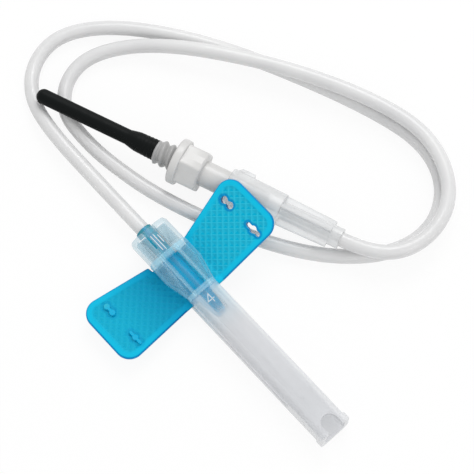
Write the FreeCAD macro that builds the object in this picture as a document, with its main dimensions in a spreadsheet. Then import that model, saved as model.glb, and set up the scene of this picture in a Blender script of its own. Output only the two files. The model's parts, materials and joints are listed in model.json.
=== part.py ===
import FreeCAD, Part
import math
import os
from types import SimpleNamespace

import Sketcher

# Safety butterfly needle: a winged needle hub inside a sliding clear shield, a soft
# tube, a clear luer connector, and an adapter with a rubber sleeve over its rear needle.
# Millimetres. X runs along the front needle towards its tip, Z is up, and the origin
# is on the floor under the needle, at the middle of the shield's flat underside.

V = FreeCAD.Vector
doc = FreeCAD.newDocument("safety_butterfly_needle")
sheet = doc.addObject("Spreadsheet::Sheet", "Sizes")

SIZES = {
    # Shield, measured from the rear face of its collar
    "axis_height": 3.0,
    "shield_length": 53.0,
    "collar_length": 6.3,
    "hood_full_end": 10.8,
    "hood_taper_end": 16.0,
    "shield_wall": 0.8,
    "keel_wall": 0.6,
    "keel_half_width": 2.5,
    "keel_corner": 0.9,
    "keel_lap": 0.6,
    "collar_half_width": 4.3,
    "collar_top": 3.8,
    "hood_half_width": 4.4,
    "hood_top": 4.0,
    "skirt_bottom": 0.25,
    "hood_corner": 1.5,
    "collar_round": 1.0,
    "collar_knee": 0.3,
    "collar_knee_inset": 0.29,
    "barrel_half_width": 3.2,
    "barrel_top": 3.0,
    "barrel_corner": 1.3,
    "ridge_half_width": 1.9,
    "ridge_rise": 0.45,
    "ridge_sink": 1.0,
    "ridge_corner": 0.5,
    "collar_end_wall": 1.3,
    "collar_bore": 2.0,
    "slot_end": 43.2,
    "slot_gap": 0.3,
    "latch_cut": 0.4,
    "latch_half_width": 0.95,
    "latch_length": 4.6,
    "window_rear": 1.8,
    "window_length": 3.8,
    "window_width": 1.7,
    "window_depth": 0.3,
    "notch_depth": 3.3,
    "notch_half_width": 1.7,
    "rim_length": 1.4,
    "rim_rise": 0.25,
    # Hub and front needle
    "hub_stub": 0.6,
    "hub_rear_radius": 1.75,
    "hub_rear_end": 1.4,
    "hub_step": 0.4,
    "tube_seat_depth": 0.6,
    "tube_seat_clearance": 0.05,
    "tooth_start": 2.2,
    "tooth_pitch": 1.1,
    "tooth_top": 1.95,
    "tooth_fall": 0.5,
    "tooth_gap": 0.05,
    "hub_body_radius": 1.6,
    "hub_shoulder": 18.0,
    "hub_nose": 21.9,
    "hub_nose_radius": 1.15,
    "needle_radius": 0.32,
    "needle_clearance": 0.03,
    "needle_root": 9.0,
    "needle_tip": 46.0,
    "needle_bevel": 2.4,
    "needle_bore": 0.2,
    # Wings
    "web_gap": 0.3,
    "wing_chord": 10.3,
    "wing_thickness": 1.05,
    "hinge_offset": 4.8,
    "wing_reach": 15.2,
    "wing_sweep_back": 3.7,
    "wing_sweep_front": 0.7,
    "wing_lead": 1.2,
    "wing_corner": 3.0,
    "wing_border": 1.35,
    "wing_recess": 0.12,
    "wing_field_inset": 1.6,
    "right_wing_raise": 26.5,
    "left_wing_raise": 1.0,
    "wing_hole_reach": 10.7,
    "rear_hole_place": 0.4,
    "front_hole_place": 7.8,
    "rear_hole_length": 3.1,
    "front_hole_length": 3.7,
    "wing_hole_width": 0.9,
    "wing_hole_eye": 1.5,
    "boss_wall": 0.35,
    "boss_rise": 0.4,
    "peg_rise": 0.55,
    "peg_clearance": 0.15,
    # Tube
    "tube_radius": 1.45,
    # Adapter line: connector and adapter share one axis, measured from the connector's mouth
    "luer_axis_height": 4.7,
    "luer_mouth_x": -23.01,
    "luer_mouth_y": 17.98,
    "luer_heading": 20.56,
    "luer_taper": 0.03,
    "luer_tip_radius": 2.0,
    "luer_depth": 7.5,
    "luer_clearance": 0.04,
    "flow_radius": 0.8,
    "connector_mouth_radius": 3.45,
    "connector_step_radius": 3.25,
    "connector_body": 11.5,
    "lug_setback": 0.5,
    "lug_length": 3.5,
    "lug_reach": 3.9,
    "lug_height": 2.4,
    "lug_slant": 0.8,
    "fin_length": 10.7,
    "fin_count": 4.0,
    "fin_thickness": 0.9,
    "fin_root_radius": 1.9,
    "fin_front_radius": 3.05,
    "fin_tail_radius": 2.75,
    "tail_collar_length": 2.1,
    "tail_collar_radius": 2.05,
    "adapter_barrel": 5.4,
    "adapter_barrel_radius": 2.575,
    "grip_length": 4.4,
    "grip_radius": 4.5,
    "grip_sides": 6.0,
    "grip_turn": 72.0,
    "flange_thickness": 1.7,
    "flange_radius": 4.65,
    "flange_round": 0.4,
    "thread_length": 4.3,
    "thread_radius": 2.6,
    "spigot_length": 3.6,
    "spigot_radius": 1.25,
    "spigot_relief": 0.2,
    "rear_needle_radius": 0.36,
    "rear_needle_root": 6.0,
    "sleeve_length": 26.5,
    "sleeve_radius": 1.53,
    "sleeve_bore": 0.8,
    "sleeve_base_radius": 2.1,
    "sleeve_base_length": 4.5,
    "sleeve_base_draft": 0.15,
    "sleeve_neck_length": 1.6,
    "sleeve_tip_wall": 1.2,
    "sleeve_needle_gap": 1.3,
}
for row, (alias, value) in enumerate(SIZES.items(), start=1):
    sheet.set("A%d" % row, alias)
    sheet.set("B%d" % row, str(value))
    sheet.setAlias("B%d" % row, alias)
doc.recompute()


class Measure:
    """A length with its value and the sheet formula that gives it."""

    def __init__(self, value, text):
        self.value = value
        self.text = text

    def _with(self, other, sign, result):
        text = other.text if isinstance(other, Measure) else repr(float(other))
        return Measure(result, "(%s %s %s)" % (self.text, sign, text))

    def __add__(self, other):
        return self._with(other, "+", self.value + worth(other))

    def __sub__(self, other):
        return self._with(other, "-", self.value - worth(other))

    def __mul__(self, other):
        return self._with(other, "*", self.value * worth(other))

    def __truediv__(self, other):
        return self._with(other, "/", self.value / worth(other))

    def __neg__(self):
        return Measure(-self.value, "(-1 * %s)" % self.text)


def worth(measure):
    return measure.value if isinstance(measure, Measure) else float(measure)


d = SimpleNamespace(**{alias: Measure(value, "Sizes." + alias) for alias, value in SIZES.items()})
NIL = Measure(0.0, "0")


def bind(thing, path, measure):
    thing.setExpression(path, measure.text)


def body_at(name, along=NIL, across=NIL, up=d.axis_height):
    body = doc.addObject("PartDesign::Body", name)
    body.Label = name
    bind(body, "Placement.Base.x", along)
    bind(body, "Placement.Base.y", across)
    bind(body, "Placement.Base.z", up)
    return body


def origin_item(body, role):
    return [item for item in body.Origin.OriginFeatures if item.Role == role][0]


def sketch_on(body, role, name, offset=NIL):
    """A sketch on one of the body's own planes, moved along that plane's normal."""
    sketch = body.newObject("Sketcher::SketchObject", name)
    sketch.AttachmentSupport = [(origin_item(body, role), "")]
    sketch.MapMode = "FlatFace"
    bind(sketch, "AttachmentOffset.Base.z", offset)
    return sketch


def drive(sketch, kind, places, measure):
    """Add a driving dimension and tie it to its measure."""
    number = sketch.addConstraint(Sketcher.Constraint(kind, *places, measure.value))
    bind(sketch, "Constraints[%d]" % number, measure)


def pin_point(sketch, edge, end, across, up):
    """Hold the end of an edge at a place measured from the sketch's origin."""
    for kind, axis, measure in (("DistanceX", -2, across), ("DistanceY", -1, up)):
        if measure is NIL:
            sketch.addConstraint(Sketcher.Constraint("PointOnObject", edge, end, axis))
        else:
            drive(sketch, kind, (-1, 1, edge, end), measure)


def outline(sketch, corners):
    """Closed polygon through corners given as pairs of measures."""
    first = sketch.GeometryCount
    count = len(corners)
    for i in range(count):
        start, end = corners[i], corners[(i + 1) % count]
        line = Part.LineSegment(V(start[0].value, start[1].value, 0), V(end[0].value, end[1].value, 0))
        sketch.addGeometry(line, False)
    for i in range(count):
        sketch.addConstraint(Sketcher.Constraint("Coincident", first + i, 2, first + (i + 1) % count, 1))
    for i, (across, up) in enumerate(corners):
        pin_point(sketch, first + i, 1, across, up)


def rounded_rectangle(sketch, half_width, low, high, corner):
    """Upright box section centred on the sketch's vertical axis, with four round corners."""
    w, lo, hi, r = half_width.value, low.value, high.value, corner.value
    turn = math.pi / 2
    sides = [
        ((r - w, lo), (w - r, lo)), ((w, lo + r), (w, hi - r)),
        ((w - r, hi), (r - w, hi)), ((-w, hi - r), (-w, lo + r)),
    ]
    centres = [(w - r, lo + r), (w - r, hi - r), (r - w, hi - r), (r - w, lo + r)]
    for i in range(4):
        sketch.addGeometry(Part.LineSegment(V(*sides[i][0], 0), V(*sides[i][1], 0)), False)
        circle = Part.Circle(V(*centres[i], 0), V(0, 0, 1), r)
        sketch.addGeometry(Part.ArcOfCircle(circle, (i - 1) * turn, i * turn), False)
    for i in range(4):
        line, arc, following = 2 * i, 2 * i + 1, (2 * i + 2) % 8
        sketch.addConstraint(Sketcher.Constraint("Tangent", line, 2, arc, 1))
        sketch.addConstraint(Sketcher.Constraint("Tangent", arc, 2, following, 1))
        sketch.addConstraint(Sketcher.Constraint("Horizontal" if i % 2 == 0 else "Vertical", line))
    for arc in (3, 5):
        sketch.addConstraint(Sketcher.Constraint("Equal", 1, arc))
    drive(sketch, "Radius", (1,), corner)
    drive(sketch, "DistanceX", (-1, 1, 2, 1), half_width)
    drive(sketch, "DistanceX", (6, 1, -1, 1), half_width)
    drive(sketch, "DistanceY", (-1, 1, 0, 1), low)
    drive(sketch, "DistanceY", (-1, 1, 4, 1), high)


def slot_outline(sketch, centre_across, centre_up, length, width):
    """Round-ended slot lying along the sketch's horizontal axis."""
    half = (length - width) / 2
    radius = width / 2
    cx, cy, h, r = centre_across.value, centre_up.value, half.value, radius.value
    quarter = math.pi / 2
    front_circle = Part.Circle(V(cx + h, cy, 0), V(0, 0, 1), r)
    rear_circle = Part.Circle(V(cx - h, cy, 0), V(0, 0, 1), r)
    sketch.addGeometry(Part.LineSegment(V(cx - h, cy - r, 0), V(cx + h, cy - r, 0)), False)
    sketch.addGeometry(Part.ArcOfCircle(front_circle, -quarter, quarter), False)
    sketch.addGeometry(Part.LineSegment(V(cx + h, cy + r, 0), V(cx - h, cy + r, 0)), False)
    sketch.addGeometry(Part.ArcOfCircle(rear_circle, quarter, 3 * quarter), False)
    for i in range(4):
        sketch.addConstraint(Sketcher.Constraint("Tangent", i, 2, (i + 1) % 4, 1))
    sketch.addConstraint(Sketcher.Constraint("Horizontal", 0))
    drive(sketch, "Radius", (1,), radius)
    pin_point(sketch, 1, 3, centre_across + half, centre_up)
    drive(sketch, "DistanceX", (3, 3, 1, 3), half * 2)


def pad(body, sketch, name, length, backwards=False):
    feature = body.newObject("PartDesign::Pad", name)
    feature.Profile = sketch
    bind(feature, "Length", length)
    feature.Reversed = backwards
    return feature


def pocket(body, sketch, name, length=None, backwards=False, both_ways=False):
    feature = body.newObject("PartDesign::Pocket", name)
    feature.Profile = sketch
    feature.Reversed = backwards
    feature.Midplane = both_ways
    if length is None:
        feature.Type = "ThroughAll"
    else:
        bind(feature, "Length", length)
    return feature


def loft(body, kind, name, first, last):
    feature = body.newObject("PartDesign::" + kind, name)
    feature.Profile = first
    feature.Sections = [last]
    feature.Ruled = True
    return feature


def revolve(body, sketch, name, kind="Revolution", role="X_Axis"):
    feature = body.newObject("PartDesign::" + kind, name)
    feature.Profile = sketch
    feature.ReferenceAxis = (origin_item(body, role), [""])
    feature.Angle = 360
    return feature


def box_section(body, name, station, half_width, low, high, corner):
    """Cross-section of the shield at one station along the needle."""
    sketch = sketch_on(body, "YZ_Plane", name, station)
    rounded_rectangle(sketch, half_width, low, high, corner)
    return sketch


# Safety shield: one clear moulding with a collar, a skirted hood, and a long barrel
shield_rear = d.shield_length / -2
shield = body_at("safety_shield", along=shield_rear)
keel_low = -d.axis_height
keel_high = d.skirt_bottom + d.keel_lap


def moulded_run(name, start, end, half_width, low, high, corner):
    section = box_section(shield, name + "_section", start, half_width, low, high, corner)
    return pad(shield, section, name, end - start)


moulded_run("keel", NIL, d.hood_full_end, d.keel_half_width, keel_low, keel_high, d.keel_corner)
moulded_run(
    "collar", d.collar_round, d.collar_length,
    d.collar_half_width, d.skirt_bottom, d.collar_top, d.hood_corner,
)
moulded_run(
    "hood", d.collar_length, d.hood_full_end,
    d.hood_half_width, d.skirt_bottom, d.hood_top, d.hood_corner,
)
moulded_run(
    "barrel", d.hood_taper_end, d.shield_length,
    d.barrel_half_width, keel_low, d.barrel_top, d.barrel_corner,
)


def moulded_taper(name, kind, start, end):
    """Loft between two sections; start and end hold a station and the section's sizes."""
    first = box_section(shield, name + "_start", *start)
    last = box_section(shield, name + "_end", *end)
    return loft(shield, kind, name, first, last)




def collar_station(station, inset, corner):
    """Section of the collar's rounded rear end, drawn in at the sides and the roof."""
    return station, d.collar_half_width - inset, d.skirt_bottom, d.collar_top - inset, corner


knee = collar_station(d.collar_knee, d.collar_knee_inset, d.barrel_corner)
moulded_taper("collar_end", "AdditiveLoft", collar_station(NIL, d.collar_round, d.barrel_corner), knee)
moulded_taper("collar_shoulder", "AdditiveLoft", knee, collar_station(d.collar_round, NIL, d.hood_corner))
moulded_taper(
    "keel_taper", "AdditiveLoft",
    (d.hood_full_end, d.keel_half_width, keel_low, keel_high, d.keel_corner),
    (d.hood_taper_end, d.barrel_half_width, keel_low, d.barrel_top, d.barrel_corner),
)
moulded_taper(
    "hood_taper", "AdditiveLoft",
    (d.hood_full_end, d.hood_half_width, d.skirt_bottom, d.hood_top, d.hood_corner),
    (d.hood_taper_end, d.barrel_half_width, d.skirt_bottom, d.barrel_top, d.barrel_corner),
)


def ridge_section(roof):
    """Half width, foot, crest and corner of the ridge on a roof of the given height."""
    return d.ridge_half_width, roof - d.ridge_sink, roof + d.ridge_rise, d.ridge_corner


moulded_run("ridge", d.collar_length, d.hood_full_end, *ridge_section(d.hood_top))
moulded_taper(
    "ridge_taper", "AdditiveLoft",
    (d.hood_full_end, *ridge_section(d.hood_top)),
    (d.hood_taper_end, *ridge_section(d.barrel_top)),
)
moulded_run(
    "rim", d.shield_length - d.rim_length, d.shield_length, d.barrel_half_width + d.rim_rise,
    keel_low, d.barrel_top + d.rim_rise, d.barrel_corner,
)

# The hollow follows the outside one wall further in
floor_low = d.shield_wall - d.axis_height
skirt_floor = d.skirt_bottom + d.keel_wall
keel_inner = d.keel_half_width - d.keel_wall
cavity_corner = d.barrel_corner - d.shield_wall


def inside(width):
    return width - d.shield_wall


def hollow_run(name, start, end, half_width, low, high):
    section = box_section(shield, name + "_section", start, half_width, low, high, cavity_corner)
    return pocket(shield, section, name, end - start, backwards=True)


hollow_run("keel_hollow", d.collar_end_wall, d.hood_full_end, keel_inner, floor_low, skirt_floor + d.keel_lap)
hollow_run(
    "collar_hollow", d.collar_end_wall, d.collar_length,
    inside(d.collar_half_width), skirt_floor, inside(d.collar_top),
)
hollow_run(
    "hood_hollow", d.collar_length, d.hood_full_end,
    inside(d.hood_half_width), skirt_floor, inside(d.hood_top),
)
hollow_run(
    "barrel_hollow", d.hood_taper_end, d.shield_length,
    inside(d.barrel_half_width), floor_low, inside(d.barrel_top),
)
moulded_taper(
    "keel_taper_hollow", "SubtractiveLoft",
    (d.hood_full_end, keel_inner, floor_low, skirt_floor + d.keel_lap, cavity_corner),
    (d.hood_taper_end, inside(d.barrel_half_width), floor_low, inside(d.barrel_top), cavity_corner),
)
moulded_taper(
    "hood_taper_hollow", "SubtractiveLoft",
    (d.hood_full_end, inside(d.hood_half_width), skirt_floor, inside(d.hood_top), cavity_corner),
    (d.hood_taper_end, inside(d.barrel_half_width), skirt_floor, inside(d.barrel_top), cavity_corner),
)

# Hole for the tube in the collar's rear wall
bore = sketch_on(shield, "YZ_Plane", "collar_bore_section")
bore.addGeometry(Part.Circle(V(0, 0, 0), V(0, 0, 1), d.collar_bore.value), False)
bore.addConstraint(Sketcher.Constraint("Coincident", 0, 3, -1, 1))
drive(bore, "Radius", (0,), d.collar_bore)
pocket(shield, bore, "collar_bore", d.collar_end_wall, backwards=True)

# Side slots that the wings' webs slide in
slots = sketch_on(shield, "XY_Plane", "slot_plan")
slot_reach = d.hood_half_width + d.shield_wall
outline(slots, [
    (d.collar_length, -slot_reach), (d.slot_end, -slot_reach),
    (d.slot_end, slot_reach), (d.collar_length, slot_reach),
])
pocket(shield, slots, "side_slots", d.wing_thickness + d.slot_gap * 2, both_ways=True)

# Latch tongue: two cuts from the rear edge through the collar's roof
tongue = sketch_on(shield, "XY_Plane", "tongue_plan", d.collar_top - d.shield_wall * 2)
for side in (1, -1):
    near = d.latch_half_width * side
    far = (d.latch_half_width + d.latch_cut) * side
    behind = -d.latch_cut
    outline(tongue, [(behind, near), (d.latch_length, near), (d.latch_length, far), (behind, far)])
pocket(shield, tongue, "tongue_cuts", d.shield_wall * 4, backwards=True)

# Shallow window panels in the collar's roof, one on each side of the tongue
windows = sketch_on(shield, "XY_Plane", "window_plan", d.collar_top - d.window_depth)
window_front = d.window_rear + d.window_length
for side in (1, -1):
    near = (d.latch_half_width + d.latch_cut / 2) * side
    far = (d.latch_half_width + d.latch_cut + d.window_width) * side
    outline(windows, [(d.window_rear, near), (window_front, near), (window_front, far), (d.window_rear, far)])
pocket(shield, windows, "roof_windows", d.window_depth * 2, backwards=True)

# Round notch in the roof at the mouth
notch = sketch_on(shield, "XY_Plane", "notch_plan")
slot_outline(notch, d.shield_length, NIL, d.notch_depth * 2, d.notch_half_width * 2)
pocket(shield, notch, "mouth_notch", d.barrel_top + d.rim_rise * 2, backwards=True)

# Needle hub: a turned body with a flat web on each side that carries a wing
hub = body_at("needle_hub", along=shield_rear)
web_rear = d.collar_length + d.web_gap
web_front = web_rear + d.wing_chord
webs = sketch_on(hub, "XY_Plane", "web_plan")
outline(webs, [
    (web_rear, -d.hinge_offset), (web_front, -d.hinge_offset),
    (web_front, d.hinge_offset), (web_rear, d.hinge_offset),
])
web_pad = pad(hub, webs, "webs", d.wing_thickness)
web_pad.Midplane = True
hub_side = sketch_on(hub, "XZ_Plane", "hub_profile")
tube_seat = d.tube_radius + d.tube_seat_clearance
hub_rim = -d.hub_stub - d.tube_seat_depth
outline(hub_side, [
    (-d.hub_stub, NIL), (-d.hub_stub, tube_seat), (hub_rim, tube_seat), (hub_rim, d.hub_rear_radius),
    (d.hub_rear_end, d.hub_rear_radius), (d.hub_rear_end + d.hub_step, d.hub_body_radius),
    (d.hub_shoulder, d.hub_body_radius), (d.hub_nose, d.hub_nose_radius), (d.hub_nose, NIL),
])
revolve(hub, hub_side, "hub_turning")

# Two pairs of saw teeth on the hub, which stand under the cuts beside the latch tongue
tooth_width = d.latch_cut - d.tooth_gap * 2
right_face = -d.latch_half_width - d.tooth_gap
left_face = d.latch_half_width + d.latch_cut - d.tooth_gap
for side, face in (("right", right_face), ("left", left_face)):
    teeth = sketch_on(hub, "XZ_Plane", side + "_teeth_side", face)
    middle = d.tooth_start + d.tooth_pitch
    end = middle + d.tooth_pitch
    low = d.tooth_top - d.tooth_fall
    outline(teeth, [
        (d.tooth_start, NIL), (d.tooth_start, d.tooth_top), (middle, low),
        (middle, d.tooth_top), (end, low), (end, NIL),
    ])
    pad(hub, teeth, side + "_teeth", tooth_width, backwards=True)


def through_hole(body, name, radius):
    hole = sketch_on(body, "YZ_Plane", name + "_section")
    hole.addGeometry(Part.Circle(V(0, 0, 0), V(0, 0, 1), radius.value), False)
    hole.addConstraint(Sketcher.Constraint("Coincident", 0, 3, -1, 1))
    drive(hole, "Radius", (0,), radius)
    return pocket(body, hole, name, both_ways=True)


through_hole(hub, "needle_seat", d.needle_radius + d.needle_clearance)


def needle(body, start, tip, radius):
    """Steel tube with a slanted cutting face at its tip."""
    ring = sketch_on(body, "YZ_Plane", body.Name + "_section", start)
    for number, measure in enumerate((radius, d.needle_bore)):
        ring.addGeometry(Part.Circle(V(0, 0, 0), V(0, 0, 1), measure.value), False)
        ring.addConstraint(Sketcher.Constraint("Coincident", number, 3, -1, 1))
        drive(ring, "Radius", (number,), measure)
    pad(body, ring, body.Name + "_tube", tip - start)
    bevel = sketch_on(body, "XZ_Plane", body.Name + "_bevel_plan")
    above = radius * 2
    past_tip = tip + d.needle_bevel
    outline(bevel, [
        (tip - d.needle_bevel * 1.5, above), (tip, -radius), (past_tip, -radius), (past_tip, above),
    ])
    pocket(body, bevel, body.Name + "_bevel", radius * 4, both_ways=True)


front_needle = body_at("front_needle", along=shield_rear)
needle(front_needle, d.needle_root, d.needle_tip, d.needle_radius)


# Wings: flat flexible plates, hinged on the hub's webs along their top edge
def corner_edges(shape, places):
    """Names of the upright edges that stand at the given places in plan."""
    names = []
    for number, edge in enumerate(shape.Edges, start=1):
        a, b = edge.Vertexes[0].Point, edge.Vertexes[-1].Point
        upright = abs(a.x - b.x) + abs(a.y - b.y) < 1e-6
        if upright and any(math.hypot(a.x - x, a.y - y) < 1e-3 for x, y in places):
            names.append("Edge%d" % number)
    return names


def round_corners(body, base, name, places, radius):
    doc.recompute()
    feature = body.newObject("PartDesign::Fillet", name)
    local = base.Shape.copy()
    feature.Base = (base, corner_edges(local, places))
    bind(feature, "Radius", radius)
    return feature


def eye_outline(sketch, centre_across, centre_up, diameter):
    radius = diameter / 2
    centre = V(centre_across.value, centre_up.value, 0)
    sketch.addGeometry(Part.Circle(centre, V(0, 0, 1), radius.value), False)
    drive(sketch, "Radius", (0,), radius)
    pin_point(sketch, 0, 3, centre_across, centre_up)


def interlock(body, kind, name, place, grow, rise):
    """Narrow slot with round eyes: a hole through a wing, or a peg or boss raised on its field."""
    across, up, length, eye_steps = place
    under = kind == "boss"
    level = d.wing_recess - d.wing_thickness if under else -d.wing_recess
    slot = sketch_on(body, "XY_Plane", name + "_slot_plan", level)
    slot_outline(slot, across, up, length + grow * 2, d.wing_hole_width + grow * 2)
    plans = [slot]
    for step in eye_steps:
        eye = sketch_on(body, "XY_Plane", "%s_eye_%d_plan" % (name, len(plans)), level)
        eye_outline(eye, across + step, up, d.wing_hole_eye + grow * 2)
        plans.append(eye)
    for plan in plans:
        if kind == "hole":
            pocket(body, plan, plan.Name.replace("plan", "cut"), both_ways=True)
        else:
            pad(body, plan, plan.Name.replace("plan", "raised"), rise + d.wing_recess, backwards=under)


def wing(name, side, raised):
    hinge_height = d.axis_height + d.wing_thickness / 2
    body = body_at(name, along=shield_rear, across=d.hinge_offset * side, up=hinge_height)
    place = body.Placement
    body.Placement = FreeCAD.Placement(place.Base, FreeCAD.Rotation(V(side, 0, 0), raised.value))
    bind(body, "Placement.Rotation.Angle", raised)
    plan = sketch_on(body, "XY_Plane", name + "_plan")
    reach = d.wing_reach * side
    rear_corner = (web_rear - d.wing_sweep_back, reach)
    front_corner = (web_front + d.wing_sweep_front, reach)
    outline(plan, [(web_rear - d.wing_lead, NIL), rear_corner, front_corner, (web_front, NIL)])
    plate = pad(body, plan, name + "_plate", d.wing_thickness, backwards=True)
    places = [(x.value, y.value) for x, y in (rear_corner, front_corner)]
    round_corners(body, plate, name + "_corners", places, d.wing_corner)
    # The waffled field lies a little below a plain border, on both faces
    inner_reach = (d.wing_reach - d.wing_border) * side
    for face, level in (("top", -d.wing_recess), ("under", d.wing_recess - d.wing_thickness)):
        field = sketch_on(body, "XY_Plane", "%s_%s_field" % (name, face), level)
        outline(field, [
            (web_rear - d.wing_lead + d.wing_field_inset, NIL),
            (web_rear - d.wing_sweep_back + d.wing_field_inset, inner_reach),
            (web_front + d.wing_sweep_front - d.wing_field_inset, inner_reach),
            (web_front - d.wing_field_inset, NIL),
        ])
        pocket(body, field, "%s_%s_recess" % (name, face), d.wing_recess * 2, backwards=face == "top")
    return body


def interlocks(side):
    """The two interlocking features on a wing: centre, length and the places of the eyes."""
    up = d.wing_hole_reach * side
    eye_step = (d.rear_hole_length - d.wing_hole_eye) / 2
    return [
        (web_rear + d.rear_hole_place, up, d.rear_hole_length, (-eye_step, eye_step)),
        (web_rear + d.front_hole_place, up, d.front_hole_length, (NIL,)),
    ]


right_wing = wing("wing_right", 1, d.right_wing_raise)
for number, place in enumerate(interlocks(1)):
    interlock(right_wing, "boss", "wing_boss_%d" % number, place, d.boss_wall, d.boss_rise)
    interlock(right_wing, "hole", "wing_hole_%d" % number, place, NIL, NIL)

left_wing = wing("wing_left", -1, d.left_wing_raise)
for number, place in enumerate(interlocks(-1)):
    interlock(left_wing, "peg", "wing_peg_%d" % number, place, -d.peg_clearance, d.peg_rise)


# Connector and adapter: turned parts on one axis, X from the mouth towards the sleeve's tip
def luer_body(name):
    body = body_at(name, along=d.luer_mouth_x, across=d.luer_mouth_y, up=d.luer_axis_height)
    heading = d.luer_heading + 180
    body.Placement = FreeCAD.Placement(body.Placement.Base, FreeCAD.Rotation(V(0, 0, 1), heading.value))
    bind(body, "Placement.Rotation.Angle", heading)
    return body


connector = luer_body("tube_connector")
body_end = -d.connector_body
fin_end = body_end - d.fin_length
tail_end = fin_end - d.tail_collar_length
connector_side = sketch_on(connector, "XZ_Plane", "connector_profile")
outline(connector_side, [
    (tail_end, NIL), (tail_end, d.tail_collar_radius), (fin_end, d.tail_collar_radius),
    (fin_end, d.fin_root_radius), (body_end, d.fin_root_radius), (body_end, d.connector_step_radius),
    (NIL, d.connector_mouth_radius), (NIL, NIL),
])
revolve(connector, connector_side, "connector_turning")
lugs = sketch_on(connector, "XY_Plane", "lug_plan")
lug_front = -d.lug_setback
lug_rear = lug_front - d.lug_length
lug_shoulder = d.lug_reach - d.lug_slant
outline(lugs, [
    (lug_rear, -d.lug_reach), (lug_front - d.lug_slant, -d.lug_reach), (lug_front, -lug_shoulder),
    (lug_front, lug_shoulder), (lug_front - d.lug_slant, d.lug_reach), (lug_rear, d.lug_reach),
])
lug_pad = pad(connector, lugs, "lugs", d.lug_height)
lug_pad.Midplane = True
fin_side = sketch_on(connector, "XZ_Plane", "fin_side")
fin_foot = d.fin_root_radius / 2
outline(fin_side, [
    (fin_end, fin_foot), (fin_end, d.fin_tail_radius), (body_end, d.fin_front_radius), (body_end, fin_foot),
])
fin = pad(connector, fin_side, "fin", d.fin_thickness)
fin.Midplane = True
fins = connector.newObject("PartDesign::PolarPattern", "fins")
fins.Originals = [fin]
fins.Axis = (origin_item(connector, "X_Axis"), [""])
fins.Angle = 360
bind(fins, "Occurrences", d.fin_count)
connector.Tip = fins
socket_mouth = d.luer_tip_radius + d.luer_depth * d.luer_taper + d.luer_clearance
socket_depth = d.luer_depth + 0.5
socket_deep = socket_mouth - socket_depth * d.luer_taper
socket_side = sketch_on(connector, "XZ_Plane", "socket_profile")
past_tail = tail_end - 0.5
outline(socket_side, [
    (past_tail, NIL), (past_tail, d.flow_radius), (-socket_depth, d.flow_radius),
    (-socket_depth, socket_deep), (NIL, socket_mouth), (d.luer_clearance, socket_mouth),
    (d.luer_clearance, NIL),
])
revolve(connector, socket_side, "socket", kind="Groove")

adapter = luer_body("adapter_body")
grip_start = d.adapter_barrel
flange_start = grip_start + d.grip_length
thread_start = flange_start + d.flange_thickness
sleeve_start = thread_start + d.thread_length
spigot_end = sleeve_start + d.spigot_length
luer_root = d.luer_tip_radius + d.luer_depth * d.luer_taper
adapter_side = sketch_on(adapter, "XZ_Plane", "adapter_profile")
shoulder = d.luer_clearance * 2
outline(adapter_side, [
    (-d.luer_depth, NIL), (-d.luer_depth, d.luer_tip_radius), (shoulder, luer_root),
    (shoulder, d.adapter_barrel_radius),
    (flange_start, d.adapter_barrel_radius), (flange_start, d.flange_radius), (thread_start, d.flange_radius),
    (thread_start, d.thread_radius), (sleeve_start, d.thread_radius), (sleeve_start, d.spigot_radius),
    (spigot_end, d.spigot_radius), (spigot_end, NIL),
])
adapter_turning = revolve(adapter, adapter_side, "adapter_turning")
doc.recompute()
flange_edges = [
    "Edge%d" % number for number, edge in enumerate(adapter_turning.Shape.Edges, start=1)
    if abs(edge.BoundBox.ZMax - d.flange_radius.value) < 1e-3 and edge.BoundBox.XLength < 1e-3
]
flange_round = adapter.newObject("PartDesign::Fillet", "flange_round")
flange_round.Base = (adapter_turning, flange_edges)
bind(flange_round, "Radius", d.flange_round)
grip = adapter.newObject("PartDesign::AdditivePrism", "grip")
grip.AttachmentSupport = [(origin_item(adapter, "YZ_Plane"), "")]
grip.MapMode = "FlatFace"
grip.AttachmentOffset = FreeCAD.Placement(V(), FreeCAD.Rotation(V(0, 0, 1), d.grip_turn.value))
bind(grip, "AttachmentOffset.Base.z", grip_start)
bind(grip, "AttachmentOffset.Rotation.Angle", d.grip_turn)
bind(grip, "Polygon", d.grip_sides)
bind(grip, "Circumradius", d.grip_radius)
bind(grip, "Height", d.grip_length)
through_hole(adapter, "rear_needle_seat", d.rear_needle_radius + d.needle_clearance)

sleeve_tip = sleeve_start + d.sleeve_length
rear_needle = luer_body("rear_needle")
rear_tip = sleeve_tip - d.sleeve_tip_wall - d.sleeve_needle_gap
needle(rear_needle, d.rear_needle_root, rear_tip, d.rear_needle_radius)

sleeve = luer_body("rubber_sleeve")
sleeve_side = sketch_on(sleeve, "XZ_Plane", "sleeve_profile")
spigot_bore = d.spigot_radius + d.needle_clearance
base_end = sleeve_start + d.sleeve_base_length
outline(sleeve_side, [
    (sleeve_start, spigot_bore), (sleeve_start, d.sleeve_base_radius),
    (base_end, d.sleeve_base_radius - d.sleeve_base_draft),
    (base_end + d.sleeve_neck_length, d.sleeve_radius), (sleeve_tip, d.sleeve_radius), (sleeve_tip, NIL),
    (sleeve_tip - d.sleeve_tip_wall, NIL), (sleeve_tip - d.sleeve_tip_wall, d.sleeve_bore),
    (spigot_end + d.spigot_relief, d.sleeve_bore), (spigot_end + d.spigot_relief, spigot_bore),
])
sleeve_turning = revolve(sleeve, sleeve_side, "sleeve_turning")
doc.recompute()
tip_rim = [
    "Edge%d" % number for number, edge in enumerate(sleeve_turning.Shape.Edges, start=1)
    if abs(edge.BoundBox.XMin - sleeve_tip.value) < 1e-6 and edge.BoundBox.ZMax > d.sleeve_bore.value
]
tip_round = sleeve.newObject("PartDesign::Fillet", "sleeve_tip_round")
tip_round.Base = (sleeve_turning, tip_rim)
bind(tip_round, "Radius", d.sleeve_radius * 0.8)

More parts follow.
